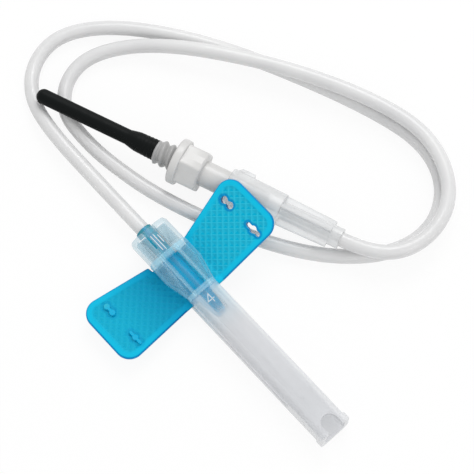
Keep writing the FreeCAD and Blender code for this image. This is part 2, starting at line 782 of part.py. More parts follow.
# Soft tube: straight runs joined by arcs, out of the hub, twice round, into the connector
floor_line = d.tube_radius.value
upper_line = 4.55
heading = math.radians(d.luer_heading.value)
tail_reach = -tail_end.value
tail_x = d.luer_mouth_x.value + tail_reach * math.cos(heading)
tail_y = d.luer_mouth_y.value + tail_reach * math.sin(heading)
tail_z = d.luer_axis_height.value
last_run = 5.4
ROUTE = [
    (shield_rear.value - d.hub_stub.value, 0.0, d.axis_height.value),
    (-41.0, 0.0, d.axis_height.value), (-55.0, 0.2, 2.95), (-64.0, 2.2, floor_line), (-69.3, 7.0, floor_line),
    (-71.0, 14.2, floor_line), (-67.6, 21.6, floor_line), (-59.8, 29.4, floor_line),
    (-47.0, 37.8, floor_line),
    (-31.0, 45.2, floor_line), (-15.5, 51.0, floor_line), (-4.5, 53.2, floor_line), (4.0, 50.4, floor_line),
    (8.9, 43.6, floor_line), (8.8, 35.4, floor_line), (4.2, 27.3, floor_line), (-4.6, 19.4, floor_line),
    (-18.0, 12.2, floor_line), (-32.0, 6.9, floor_line), (-43.5, 4.7, floor_line), (-50.6, 4.35, floor_line),
    (-57.3, 5.05, floor_line), (-62.2, 9.6, floor_line), (-63.4, 16.3, floor_line), (-59.6, 23.8, 2.1),
    (-52.0, 31.0, 3.6), (-41.0, 38.7, upper_line), (-30.0, 45.4, upper_line), (-17.5, 51.2, upper_line),
    (-6.5, 54.0, upper_line), (2.2, 52.2, upper_line), (8.4, 47.4, upper_line), (10.9, 40.2, upper_line),
    (9.6, 33.2, upper_line),
    (tail_x + last_run * math.cos(heading), tail_y + last_run * math.sin(heading), tail_z),
    (tail_x, tail_y, tail_z),
]
ARC_SHARE = 0.45


def cord_path(route):
    """One wire of straight runs and tangent arcs through a list of places."""
    corners = [V(*place) for place in route]
    edges = []
    last = corners[0]
    for before, corner, after in zip(corners, corners[1:], corners[2:]):
        back = (before - corner).normalize()
        ahead = (after - corner).normalize()
        share = ARC_SHARE * min(before.distanceToPoint(corner), after.distanceToPoint(corner))
        half_turn = (math.pi - back.getAngle(ahead)) / 2
        radius = share / math.tan(half_turn)
        print("tube arc at %5.1f %5.1f radius %6.1f" % (corner.x, corner.y, radius))
        start = corner + back * share
        end = corner + ahead * share
        inward = (back + ahead).normalize()
        middle = corner + inward * (radius / math.cos(half_turn) - radius)
        edges.append(Part.LineSegment(last, start).toShape())
        edges.append(Part.Arc(start, middle, end).toShape())
        last = end
    edges.append(Part.LineSegment(last, corners[-1]).toShape())
    return Part.Wire(edges)


path = cord_path(ROUTE)
start_way = V(*ROUTE[1]) - V(*ROUTE[0])
section = Part.Wire([Part.Circle(V(*ROUTE[0]), start_way, d.tube_radius.value).toShape()])
tube_solid = path.makePipeShell([section], True, False)
tubing = doc.addObject("Part::Feature", "tubing")
tubing.Label = "tubing"
tubing.Shape = tube_solid
expected = math.pi * d.tube_radius.value ** 2 * path.Length
print("tube length %.1f mm, volume %.1f against %.1f" % (path.Length, tube_solid.Volume, expected))

doc.recompute()
for thing in doc.Objects:
    if "Invalid" in thing.State or "Error" in thing.State:
        raise RuntimeError("%s failed: %s" % (thing.Name, thing.State))
pieces = [
    hub, left_wing, right_wing, front_needle, shield,
    tubing, connector, adapter, rear_needle, sleeve,
]
for piece in pieces:
    if piece.Shape.isNull() or not piece.Shape.isValid():
        raise RuntimeError("%s has no sound shape" % piece.Label)
    if len(piece.Shape.Solids) != 1:
        raise RuntimeError("%s is not one solid" % piece.Label)

os.makedirs("parts", exist_ok=True)
for piece in pieces:
    piece.Shape.exportStep("parts/%s.step" % piece.Label)
    box = piece.Shape.BoundBox
    print("%-16s volume %8.2f  x %6.2f %6.2f  y %6.2f %6.2f  z %5.2f %5.2f" % (
        piece.Label, piece.Shape.Volume, box.XMin, box.XMax, box.YMin, box.YMax, box.ZMin, box.ZMax))
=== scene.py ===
# %% [markdown]
# # Safety butterfly needle
# A winged blood collection set lies on a white table. The solids come from the CAD
# frame at real size, in metres. Each cell below adds one piece or one finish.

# %% Load the frame
import json
import math

import bmesh
import bpy
import numpy as np
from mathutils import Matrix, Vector


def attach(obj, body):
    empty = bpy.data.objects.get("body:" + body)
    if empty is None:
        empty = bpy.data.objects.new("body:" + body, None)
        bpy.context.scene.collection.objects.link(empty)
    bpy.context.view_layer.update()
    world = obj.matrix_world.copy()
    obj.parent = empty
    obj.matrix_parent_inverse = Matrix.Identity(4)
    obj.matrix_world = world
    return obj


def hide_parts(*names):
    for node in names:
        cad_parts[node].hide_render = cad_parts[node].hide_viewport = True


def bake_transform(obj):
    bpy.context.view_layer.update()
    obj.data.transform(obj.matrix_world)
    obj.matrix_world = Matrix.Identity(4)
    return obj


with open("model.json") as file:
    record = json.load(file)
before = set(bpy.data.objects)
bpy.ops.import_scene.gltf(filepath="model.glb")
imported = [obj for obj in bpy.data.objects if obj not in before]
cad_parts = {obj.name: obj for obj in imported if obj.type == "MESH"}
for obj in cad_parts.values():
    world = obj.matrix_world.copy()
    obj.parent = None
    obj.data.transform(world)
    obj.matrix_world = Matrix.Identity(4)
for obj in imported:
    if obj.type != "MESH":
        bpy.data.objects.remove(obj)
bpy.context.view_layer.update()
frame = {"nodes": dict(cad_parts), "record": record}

MM = 0.001
nodes = frame["nodes"]
print("CAD nodes:", ", ".join(sorted(nodes)))

# %% [markdown]
# The camera comes first. It looks down steeply on the set, so a long lens far away
# keeps the loops nearly free of perspective. It aims at a point on the table.

# %% Camera
CAMERA_AIM = Vector((-15.2, 13.2, 0.0)) * MM
CAMERA_DISTANCE = 381.0 * MM
CAMERA_AZIMUTH = math.radians(47.8)
CAMERA_ELEVATION = math.radians(70.0)
CAMERA_LENS = 149.0

camera_data = bpy.data.cameras.new("camera")
camera_data.lens = CAMERA_LENS
camera = bpy.data.objects.new("camera", camera_data)
bpy.context.scene.collection.objects.link(camera)
back = Vector((
    math.sin(CAMERA_AZIMUTH) * math.cos(CAMERA_ELEVATION),
    -math.cos(CAMERA_AZIMUTH) * math.cos(CAMERA_ELEVATION),
    math.sin(CAMERA_ELEVATION),
))
camera.location = CAMERA_AIM + back * CAMERA_DISTANCE
camera.rotation_mode = "QUATERNION"
camera.rotation_quaternion = (-back).to_track_quat("-Z", "Y")
camera_data.clip_start = 0.01
camera_data.clip_end = 10.0
bpy.context.scene.camera = camera
print("camera at", [round(value, 3) for value in camera.location])

# %% [markdown]
# The soft tube leaves the hub, goes twice round and enters the connector. It could be
# swept as a mesh, but a NURBS curve with a round bevel keeps its section true and its
# line smooth. The control points are the ones the solid tube was built on.

# %% Tube route
TUBE_RADIUS = 1.45
AXIS_HEIGHT = 3.0
UPPER_LINE = 4.55
ROUTE_MM = [
    (-27.1, 0.0, AXIS_HEIGHT), (-41.0, 0.0, AXIS_HEIGHT), (-55.0, 0.2, 2.95),
    (-64.0, 2.2, TUBE_RADIUS), (-69.3, 7.0, TUBE_RADIUS), (-71.0, 14.2, TUBE_RADIUS),
    (-67.6, 21.6, TUBE_RADIUS),
    (-59.8, 29.4, TUBE_RADIUS), (-47.0, 37.8, TUBE_RADIUS), (-31.0, 45.2, TUBE_RADIUS),
    (-15.5, 51.0, TUBE_RADIUS), (-4.5, 53.2, TUBE_RADIUS), (4.0, 50.4, TUBE_RADIUS),
    (8.9, 43.6, TUBE_RADIUS), (8.8, 35.4, TUBE_RADIUS), (4.2, 27.3, TUBE_RADIUS),
    (-4.6, 19.4, TUBE_RADIUS), (-18.0, 12.2, TUBE_RADIUS), (-32.0, 6.9, TUBE_RADIUS),
    (-43.5, 4.7, TUBE_RADIUS), (-50.6, 4.35, TUBE_RADIUS), (-57.3, 5.05, TUBE_RADIUS),
    (-62.2, 9.6, TUBE_RADIUS), (-63.4, 16.3, TUBE_RADIUS), (-59.6, 23.8, 2.1), (-52.0, 31.0, 3.6),
    (-41.0, 38.7, UPPER_LINE), (-30.0, 45.4, UPPER_LINE), (-17.5, 51.2, UPPER_LINE),
    (-6.5, 54.0, UPPER_LINE), (2.2, 52.2, UPPER_LINE), (8.4, 47.4, UPPER_LINE),
    (10.9, 40.2, UPPER_LINE), (9.6, 33.2, UPPER_LINE), (4.798, 28.411, 4.7), (-0.258, 26.514, 4.7),
]


def tube_curve(name, radius_mm):
    """NURBS curve of order 3 through the route's control points, with a round bevel."""
    curve = bpy.data.curves.new(name, "CURVE")
    curve.dimensions = "3D"
    spline = curve.splines.new("NURBS")
    spline.points.add(len(ROUTE_MM) - 1)
    for point, place in zip(spline.points, ROUTE_MM):
        point.co = (place[0] * MM, place[1] * MM, place[2] * MM, 1.0)
        point.radius = MM
    spline.order_u = 3
    spline.use_endpoint_u = True
    curve.resolution_u = 12
    curve.bevel_depth = radius_mm
    curve.bevel_resolution = 8
    curve.use_fill_caps = True
    piece = bpy.data.objects.new(name, curve)
    bpy.context.scene.collection.objects.link(piece)
    return piece


tube = tube_curve("tube", TUBE_RADIUS)
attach(tube, "hub")
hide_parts("tubing")
print("tube with", len(ROUTE_MM), "control points")

# %% [markdown]
# The luer line is the axis that the connector and the adapter share. The record's
# mount gives its direction, so every turned piece below follows the CAD.

# %% Luer axis
MOUNT_STATION = 13.65
SHIELD_REAR = -26.5
mount = [m for m in frame["record"]["mounts"] if m["name"] == "holder_thread"][0]
luer_along = np.array(mount["axis"], float)
luer_along /= np.linalg.norm(luer_along)
luer_up = np.array([0.0, 0.0, 1.0])
luer_side = np.cross(luer_up, luer_along)
luer_mouth = np.array(mount["pos_m"], float) - luer_along * MOUNT_STATION * MM


def on_luer_axis(points_mm):
    """World places of points given as (along, side, up) in millimetres from the mouth."""
    points = np.asarray(points_mm, float) * MM
    return (
        luer_mouth + points[:, :1] * luer_along
        + points[:, 1:2] * luer_side + points[:, 2:3] * luer_up
    )


def on_needle_axis(points_mm):
    """World places of points given as (station, side, up) in millimetres; stations start
    at the rear face of the shield's collar and the axis lies at the needle's height."""
    return (np.asarray(points_mm, float) + np.array([SHIELD_REAR, 0.0, AXIS_HEIGHT])) * MM


print("luer mouth at", np.round(luer_mouth / MM, 2), "mm")

# %% [markdown]
# Every new surface is worked out as a whole numpy array and put into a mesh at once.
# A grid that closes round one way is a tube; its two ends are closed by fans.

# %% Mesh helpers
def mesh_piece(name, points, faces, smooth_angle=35.0):
    """Mesh object from an array of world points and a list of faces, outward normals."""
    mesh = bpy.data.meshes.new(name)
    mesh.from_pydata(np.asarray(points).tolist(), [], [list(face) for face in faces])
    mesh.validate()
    mesh.update()
    work = bmesh.new()
    work.from_mesh(mesh)
    bmesh.ops.remove_doubles(work, verts=work.verts, dist=1e-8)
    bmesh.ops.recalc_face_normals(work, faces=work.faces)
    work.to_mesh(mesh)
    work.free()
    mesh.polygons.foreach_set("use_smooth", np.ones(len(mesh.polygons), bool))
    mesh.set_sharp_from_angle(angle=math.radians(smooth_angle))
    piece = bpy.data.objects.new(name, mesh)
    bpy.context.scene.collection.objects.link(piece)
    print(name, "has", len(mesh.polygons), "faces")
    return piece


def ring_faces(rings, around):
    """Quads of a grid of closed rings, with a polygon over each end ring."""
    ring = np.arange(rings - 1)[:, None] * around
    step = np.arange(around)[None, :]
    after = (step + 1) % around
    beyond = ring + around
    quads = np.stack([ring + step, ring + after, beyond + after, beyond + step], axis=-1)
    caps = [list(range(around))[::-1], list(range((rings - 1) * around, rings * around))]
    return quads.reshape(-1, 4).tolist() + caps


def turned(name, stations, radii, around=96, place=on_luer_axis):
    """Surface round an axis: radius(station, angle), with x along the axis.
    The point at angle a is (station, r cos a, r sin a)."""
    stations = np.asarray(stations, float)
    angle = np.linspace(0.0, 2.0 * np.pi, around, endpoint=False)
    radii = np.asarray(radii, float)
    if radii.ndim == 1:
        radii = np.repeat(radii[:, None], around, axis=1)
    along = np.repeat(stations[:, None], around, axis=1)
    grid = np.stack([along, radii * np.cos(angle), radii * np.sin(angle)], axis=-1)
    return mesh_piece(name, place(grid.reshape(-1, 3)), ring_faces(len(stations), around))


def rounded_profile(corners, radius, steps=5):
    """Profile line with each inner corner replaced by a short quadratic curve.
    The curve starts and ends the given radius from the corner, or at 45% of its run."""
    corners = [np.array(corner, float) for corner in corners]
    line = [corners[0]]
    share = np.linspace(0.0, 1.0, steps)[:, None]
    for before, corner, after in zip(corners, corners[1:], corners[2:]):
        back_run, next_run = before - corner, after - corner
        cut = min(radius, 0.45 * np.linalg.norm(back_run), 0.45 * np.linalg.norm(next_run))
        start = corner + back_run / np.linalg.norm(back_run) * cut
        end = corner + next_run / np.linalg.norm(next_run) * cut
        line += list((1 - share) ** 2 * start + 2 * share * (1 - share) * corner + share ** 2 * end)
    line.append(corners[-1])
    return np.array(line)


# %% [markdown]
# Finishes. Each one is a Principled shader with procedural variation on object
# coordinates, so it stays on the piece from every side.

# %% Material helpers
def finish(name, color, roughness, **sockets):
    """Principled material with its plain values set on the sockets themselves."""
    made = bpy.data.materials.new(name)
    made.use_nodes = True
    shader = made.node_tree.nodes["Principled BSDF"]
    shader.inputs["Base Color"].default_value = (*color, 1.0)
    shader.inputs["Roughness"].default_value = roughness
    for socket, value in sockets.items():
        shader.inputs[socket.replace("_", " ")].default_value = value
    return made


def add_noise(made, scale, detail=3.0):
    """Noise on object coordinates; scale is in waves a metre."""
    tree = made.node_tree
    place = tree.nodes.new("ShaderNodeTexCoord")
    noise = tree.nodes.new("ShaderNodeTexNoise")
    noise.inputs["Scale"].default_value = scale
    noise.inputs["Detail"].default_value = detail
    tree.links.new(place.outputs["Object"], noise.inputs["Vector"])
    return noise.outputs["Fac"]


def vary_roughness(made, scale, low, high):
    tree = made.node_tree
    span = tree.nodes.new("ShaderNodeMapRange")
    span.inputs["To Min"].default_value = low
    span.inputs["To Max"].default_value = high
    tree.links.new(add_noise(made, scale), span.inputs["Value"])
    tree.links.new(span.outputs["Result"], tree.nodes["Principled BSDF"].inputs["Roughness"])


def vary_color(made, scale, low, high):
    tree = made.node_tree
    ramp = tree.nodes.new("ShaderNodeValToRGB")
    ramp.color_ramp.elements[0].position = 0.3
    ramp.color_ramp.elements[1].position = 0.7
    ramp.color_ramp.elements[0].color = (*low, 1.0)
    ramp.color_ramp.elements[1].color = (*high, 1.0)
    tree.links.new(add_noise(made, scale), ramp.inputs["Fac"])
    tree.links.new(ramp.outputs["Color"], tree.nodes["Principled BSDF"].inputs["Base Color"])


def add_bump(made, scale, depth_mm, strength=1.0):
    tree = made.node_tree
    bump = tree.nodes.new("ShaderNodeBump")
    bump.inputs["Strength"].default_value = strength
    bump.inputs["Distance"].default_value = depth_mm * MM
    tree.links.new(add_noise(made, scale), bump.inputs["Height"])
    tree.links.new(bump.outputs["Normal"], tree.nodes["Principled BSDF"].inputs["Normal"])


def dress(piece, made):
    piece.data.materials.clear()
    piece.data.materials.append(made)


print("plain finish helpers ready")

# %% [markdown]
# A finish that changes over its piece is a formula of places. Each helper below adds its
# nodes and hands back their output, so that the formulas read like plain ones.

# %% Node helpers
def both(made, first, second, operation):
    """Math node on two values; a value is a plain number or another node's socket."""
    node = made.node_tree.nodes.new("ShaderNodeMath")
    node.operation = operation
    for place, value in enumerate((first, second)):
        if isinstance(value, (int, float)):
            node.inputs[place].default_value = value
        else:
            made.node_tree.links.new(value, node.inputs[place])
    return node.outputs[0]


def total(made, *shares):
    """Sum of shares, added from left to right."""
    result = shares[0]
    for share in shares[1:]:
        result = both(made, result, share, "ADD")
    return result


def product(made, *shares):
    """Product of shares, from left to right."""
    result = shares[0]
    for share in shares[1:]:
        result = both(made, result, share, "MULTIPLY")
    return result


def distance(made, value):
    """A coordinate without its sign."""
    return both(made, value, 0.0, "ABSOLUTE")


def ramp(made, value, low, high, to_low, to_high):
    """Smooth step of a value from low to high, sent to the range to_low..to_high."""
    node = made.node_tree.nodes.new("ShaderNodeMapRange")
    node.interpolation_type = "SMOOTHSTEP"
    limits = {"From Min": low, "From Max": high, "To Min": to_low, "To Max": to_high}
    for place, number in limits.items():
        node.inputs[place].default_value = number
    made.node_tree.links.new(value, node.inputs["Value"])
    return node.outputs["Result"]


def band(made, value, start, end, soft, share):
    """A share that is full from start to end and fades over soft outside of them."""
    rising = ramp(made, value, start - soft, start, 0.0, share)
    return both(made, rising, ramp(made, value, end, end + soft, 1.0, 0.0), "MULTIPLY")


def along(made, axis):
    """One object coordinate of the shaded point, in metres."""
    place = made.node_tree.nodes.new("ShaderNodeTexCoord")
    split = made.node_tree.nodes.new("ShaderNodeSeparateXYZ")
    made.node_tree.links.new(place.outputs["Object"], split.inputs[0])
    return split.outputs[axis]


def attribute(made, name):
    node = made.node_tree.nodes.new("ShaderNodeAttribute")
    node.attribute_name = name
    return node.outputs["Fac"]


def blend_colors(made, factor, low, high):
    """Mix of two colours, each a plain triple or another node's socket."""
    node = made.node_tree.nodes.new("ShaderNodeMix")
    node.data_type = "RGBA"
    made.node_tree.links.new(factor, node.inputs[0])
    for place, value in ((6, low), (7, high)):
        if isinstance(value, tuple):
            node.inputs[place].default_value = (*value, 1.0)
        else:
            made.node_tree.links.new(value, node.inputs[place])
    return node.outputs[2]


def wire(made, value, socket):
    made.node_tree.links.new(value, made.node_tree.nodes["Principled BSDF"].inputs[socket])


print("node helpers ready")

# %% [markdown]
# The plain finishes are the soft tube, the milky adapter, the black rubber and the needle
# steel. A little noise keeps each of them from looking flat.

# %% Plain finishes
soft_pvc = finish(
    "soft_pvc", (0.78, 0.78, 0.785), 0.26,
    Transmission_Weight=0.15, IOR=1.42, Coat_Weight=0.2,
)
vary_color(soft_pvc, 90.0, (0.75, 0.75, 0.755), (0.81, 0.81, 0.81))
add_bump(soft_pvc, 900.0, 0.02)
milky_plastic = finish("milky_plastic", (0.62, 0.615, 0.61), 0.34, Coat_Weight=0.1)
add_bump(milky_plastic, 1800.0, 0.01)
black_rubber = finish("black_rubber", (0.0008, 0.002, 0.002), 0.5, Specular_IOR_Level=0.12)
vary_roughness(black_rubber, 600.0, 0.4, 0.6)
add_bump(black_rubber, 1500.0, 0.03)
steel = finish("steel", (0.62, 0.63, 0.65), 0.22, Metallic=1.0)
vary_roughness(steel, 3000.0, 0.16, 0.3)
dress(tube, soft_pvc)
dress(nodes["front_needle"], steel)
dress(nodes["rear_needle"], steel)
print("plain finishes:", len(bpy.data.materials))

# %% [markdown]
# The clear mouldings. The real plastic is thin and a little cloudy, so each wall is a
# veil: part of the light passes straight through and part meets a milky surface. A clear
# gloss lies over both. The veil is thinnest on the hood's ridge and thickest along the
# frosted barrel, and moulded edges are cloudier than flats.

# %% Veils
PASSAGE_TINT = (0.975, 0.985, 0.99)
GLOSS_ROUGHNESS = 0.18
GLOSS_IOR = 1.3


def veiled(name, color, roughness, veil):
    """Milky Principled shader mixed with plain passage; veil is the milky share of a wall."""
    made = finish(name, color, roughness)
    tree = made.node_tree
    milky = tree.nodes["Principled BSDF"]
    passage = tree.nodes.new("ShaderNodeBsdfTransparent")
    passage.name = "passage"
    passage.inputs["Color"].default_value = (*PASSAGE_TINT, 1.0)
    cloud = tree.nodes.new("ShaderNodeMixShader")
    cloud.name = "cloud"
    cloud.inputs["Fac"].default_value = veil
    gloss = tree.nodes.new("ShaderNodeBsdfGlossy")
    gloss.inputs["Roughness"].default_value = GLOSS_ROUGHNESS
    sheen = tree.nodes.new("ShaderNodeFresnel")
    sheen.inputs["IOR"].default_value = GLOSS_IOR
    facing = tree.nodes.new("ShaderNodeNewGeometry")
    inner = tree.nodes.new("ShaderNodeMix")
    inner.inputs[3].default_value = 0.0
    tree.links.new(facing.outputs["Backfacing"], inner.inputs[0])
    tree.links.new(sheen.outputs[0], inner.inputs[2])
    over = tree.nodes.new("ShaderNodeMixShader")
    tree.links.new(passage.outputs[0], cloud.inputs[1])
    tree.links.new(milky.outputs[0], cloud.inputs[2])
    tree.links.new(inner.outputs[0], over.inputs["Fac"])
    tree.links.new(cloud.outputs[0], over.inputs[1])
    tree.links.new(gloss.outputs[0], over.inputs[2])
    tree.links.new(over.outputs[0], tree.nodes["Material Output"].inputs["Surface"])
    return made


def veil_of(made, share):
    made.node_tree.links.new(share, made.node_tree.nodes["cloud"].inputs["Fac"])


def at_station(millimetres):
    """World x of a station along the shield."""
    return (millimetres + SHIELD_REAR) * MM


print("veils pass", PASSAGE_TINT, "of the light")

# %% [markdown]
# The shield's veil follows from place: the station along it, the distance from its middle
# plane and the height. Collar, hood and barrel have a share each. The windows, the rims,
# the ridge and the two cross walls add to it, and the latch tongue and the panel behind
# the numeral take some away.

# %% Shield walls
COLLAR_VEIL = 0.25
TONGUE_VEIL = -0.15
WINDOW_VEIL = 0.10
RIM_VEIL = 0.3
RIDGE_VEIL = 0.3
FLANK_VEIL = 0.08
REAR_WALL_VEIL = 0.28
FRONT_WALL_VEIL = 0.34
BARREL_VEIL = 0.42
PANEL_CLEARING = 0.32
UNDERSIDE_VEIL = 0.1

shield_walls = veiled("shield_walls", (0.76, 0.8, 0.84), 0.4, 0.4)
station = along(shield_walls, 0)
off_middle = distance(shield_walls, along(shield_walls, 1))


def shield_step(start, end, low, high):
    """Smooth step between two stations, in millimetres."""
    return ramp(shield_walls, station, at_station(start), at_station(end), low, high)


def side_step(near, far, low, high):
    """Smooth step between two distances from the middle plane, in millimetres."""
    return ramp(shield_walls, off_middle, near * MM, far * MM, low, high)


def shield_band(start, end, share, soft=0.5):
    """Share that is full between two stations, in millimetres."""
    return band(shield_walls, station, at_station(start), at_station(end), soft * MM, share)


window_sides = band(shield_walls, off_middle, 1.5 * MM, 2.9 * MM, 0.2 * MM, 1.0)
in_window = product(shield_walls, window_sides, shield_band(1.9, 5.5, 1.0, 0.2))
window_veil = product(shield_walls, in_window, WINDOW_VEIL)
on_tongue = side_step(0.9, 1.4, TONGUE_VEIL, 0.0)
collar_share = total(shield_walls, window_veil, on_tongue, COLLAR_VEIL)
collar_veil = product(shield_walls, collar_share, shield_step(6.1, 6.7, 1.0, 0.0))
half_width = shield_step(10.8, 16.0, 4.4 * MM, 3.2 * MM)
rim_place = both(shield_walls, off_middle, half_width, "DIVIDE")
rim_veil = ramp(shield_walls, rim_place, 0.86, 0.97, 0.0, RIM_VEIL)
on_hood = shield_band(6.3, 16.2, 1.0)
ridge_line = band(shield_walls, off_middle, 1.65 * MM, 1.95 * MM, 0.2 * MM, RIDGE_VEIL)
beside_ridge = side_step(1.8, 2.1, 0.0, FLANK_VEIL)
hood_share = total(shield_walls, rim_veil, ridge_line, beside_ridge)
hood_veil = product(shield_walls, hood_share, on_hood)
rear_wall = shield_band(6.3, 7.2, REAR_WALL_VEIL, 0.3)
front_wall = shield_band(15.7, 16.4, FRONT_WALL_VEIL, 0.2)
cross_veil = total(shield_walls, rear_wall, front_wall)
on_panel = product(
    shield_walls, side_step(0.9, 1.5, 1.0, 0.0),
    shield_step(20.0, 23.0, PANEL_CLEARING, 0.0), shield_step(16.3, 17.0, 0.0, 1.0),
)
past_hood = shield_step(16.3, 17.0, 0.0, BARREL_VEIL)
barrel_veil = both(shield_walls, past_hood, on_panel, "SUBTRACT")
height = along(shield_walls, 2)
below = ramp(shield_walls, height, 2.0 * MM, 2.4 * MM, UNDERSIDE_VEIL, 0.0)
lower_veil = total(shield_walls, barrel_veil, below)
veil_of(shield_walls, total(shield_walls, collar_veil, hood_veil, lower_veil, cross_veil))
print("shield veil:", len(shield_walls.node_tree.nodes), "nodes")

# %% [markdown]
# The shield's colour runs from pale blue over the hub to white along the barrel. The blue
# is painted light, scattered up from the blue hub and wings beneath. The windows have
# painted shade, a darker colour in their recess, and light that passes straight through
# gets a faint tint.

# %% Shield colours
blue_to_white = shield_step(14.5, 26.5, 0.0, 1.0)
# Painted light: the blue over collar and hood stands for light scattered up from the blue hub and
# wings beneath.
hood_color = blend_colors(shield_walls, on_hood, (0.56, 0.72, 0.81), (0.40, 0.70, 0.84))
body_color = blend_colors(shield_walls, blue_to_white, hood_color, (0.75, 0.75, 0.77))
# Painted shade: the windows are darker where their recess lies in shade.
wall_color = blend_colors(shield_walls, in_window, body_color, (0.36, 0.52, 0.60))
wire(shield_walls, wall_color, "Base Color")
passage_color = blend_colors(shield_walls, blue_to_white, (0.93, 0.975, 0.985), PASSAGE_TINT)
shield_tree = shield_walls.node_tree
shield_tree.links.new(passage_color, shield_tree.nodes["passage"].inputs["Color"])
add_bump(shield_walls, 1500.0, 0.008)
print("shield colours:", len(shield_tree.nodes), "nodes")

# %% [markdown]
# Rounded edges have a cloudier finish of their own; the connector's is darker, a painted
# shade along its edges. The connector is greyer than the shield and has no pattern of
# places, only noise.

# %% Edges and connector
shield_edges = veiled("shield_edges", (0.78, 0.85, 0.90), 0.3, 0.45)
vary_color(shield_edges, 400.0, (0.74, 0.82, 0.87), (0.82, 0.88, 0.92))
connector_walls = veiled("connector_walls", (0.76, 0.76, 0.765), 0.3, 0.45)
vary_color(connector_walls, 260.0, (0.72, 0.72, 0.725), (0.80, 0.80, 0.80))
add_bump(connector_walls, 1200.0, 0.01)
# Painted shade: the connector's rounded edges are a darker copy of its walls.
connector_edge_shade = veiled("connector_edge_shade", (0.55, 0.55, 0.56), 0.3, 0.6)
vary_color(connector_edge_shade, 400.0, (0.50, 0.50, 0.51), (0.60, 0.60, 0.60))
print("clear finishes:", shield_walls.name, connector_walls.name)

# %% [markdown]
# The blue plastic, with painted light and shade. The hub has painted shade in stripes along
# its middle plane and its axis height. The wings take painted shade and light from their own
# attributes: darker dimples with one face of each darker still, lighter ridges, a dark band
# along the rim and round the holes, and a painted shadow of the hood over the left wing's
# root. Cut walls are a darker, shaded blue.

# %% Blue finishes
HUB_BLUE = (0.0, 0.40, 0.66)
HUB_TEAL = (0.02, 0.45, 0.60)
HUB_END = (0.04, 0.28, 0.36)
NEEDLE_SHADE = (0.045, 0.30, 0.50)
SHADE_BLUE = (0.0, 0.24, 0.55)
FIELD_BLUE = (0.0, 0.42, 0.66)
DIMPLE_SHADE_BLUE = (0.0, 0.38, 0.58)
RIDGE_HIGHLIGHT_BLUE = (0.03, 0.51, 0.69)
BORDER_BLUE = (0.006, 0.50, 0.74)
ROOT_SHADE = (0.3, 0.60, 0.70)

blue_hub = finish("blue_hub", HUB_BLUE, 0.22, Specular_IOR_Level=0.25)
sideways = distance(blue_hub, along(blue_hub, 1))
above_axis = both(blue_hub, along(blue_hub, 2), AXIS_HEIGHT * MM, "SUBTRACT")
from_middle = both(blue_hub, sideways, distance(blue_hub, above_axis), "MINIMUM")
shadow = ramp(blue_hub, from_middle, 0.0002, 0.0006, 0.8, 0.0)
lengthways = along(blue_hub, 0)
past_teeth = ramp(blue_hub, lengthways, at_station(5.3), at_station(7.3), 0.0, 1.0)
past_end = ramp(blue_hub, lengthways, at_station(-0.1), at_station(0.3), 0.0, 1.0)
hub_tone = blend_colors(blue_hub, past_teeth, HUB_TEAL, HUB_BLUE)
hub_tone = blend_colors(blue_hub, past_end, HUB_END, hub_tone)
wire(blue_hub, blend_colors(blue_hub, shadow, hub_tone, NEEDLE_SHADE), "Base Color")
add_bump(blue_hub, 2500.0, 0.01)
blue_wing = finish("blue_wing", FIELD_BLUE, 0.42, Specular_IOR_Level=0.05)
# Painted shade and highlight on the waffle: dimples darker, ridges lighter.
painted_waffle_shading = blend_colors(blue_wing, attribute(blue_wing, "dimple"), RIDGE_HIGHLIGHT_BLUE, DIMPLE_SHADE_BLUE)
faced = blend_colors(blue_wing, attribute(blue_wing, "field"), BORDER_BLUE, painted_waffle_shading)
# Painted shade: the edge attribute darkens the wing's rim and the ring round each hole.
rim_shaded = blend_colors(blue_wing, attribute(blue_wing, "edge"), faced, SHADE_BLUE)
# Painted shadow of the hood: the left wing darkens towards its root.
root_shadow = blue_wing.node_tree.nodes.new("ShaderNodeMix")
root_shadow.data_type = "RGBA"
root_shadow.blend_type = "MULTIPLY"
towards_root = ramp(blue_wing, along(blue_wing, 1), -0.017, -0.004, 0.15, 1.0)
blue_wing.node_tree.links.new(towards_root, root_shadow.inputs[0])
blue_wing.node_tree.links.new(rim_shaded, root_shadow.inputs[6])
root_shadow.inputs[7].default_value = (*ROOT_SHADE, 1.0)
near_root = ramp(blue_wing, along(blue_wing, 1), 0.001, 0.002, 0.0, 1.0)
wire(blue_wing, blend_colors(blue_wing, near_root, root_shadow.outputs[2], rim_shaded), "Base Color")
add_bump(blue_wing, 3000.0, 0.01)
# Painted shade: cut walls and hole rims are a darker, shaded copy of the blue.
blue_cut_shade = finish("blue_cut_shade", SHADE_BLUE, 0.2, Specular_IOR_Level=0.3)
vary_color(blue_cut_shade, 900.0, (0.0, 0.19, 0.48), (0.0, 0.36, 0.72))
print("blue finishes:", blue_hub.name, blue_wing.name, blue_cut_shade.name)

# %% [markdown]
# The adapter is turned about the luer axis, but its grip is faceted and its thread
# winds round it. Both are one radius function of station and angle.

# %% Adapter
GRIP_SIDES = 6
GRIP_TURN = math.radians(72.0)
FLAT_RADIUS = 3.897
GRIP_START = 5.4
GRIP_END = 9.8
THREAD_START = 11.5
THREAD_END = 15.8
THREAD_PITCH = 1.65
THREAD_CREST = 2.6
THREAD_ROOT = 2.05
ADAPTER_AROUND = 120


def faceted(angle, flat_radius, sides):
    """Radius of a regular prism with a corner at angle 0 and flats at flat_radius."""
    sector = 2.0 * np.pi / sides
    return flat_radius / np.cos(angle % sector - sector / 2)


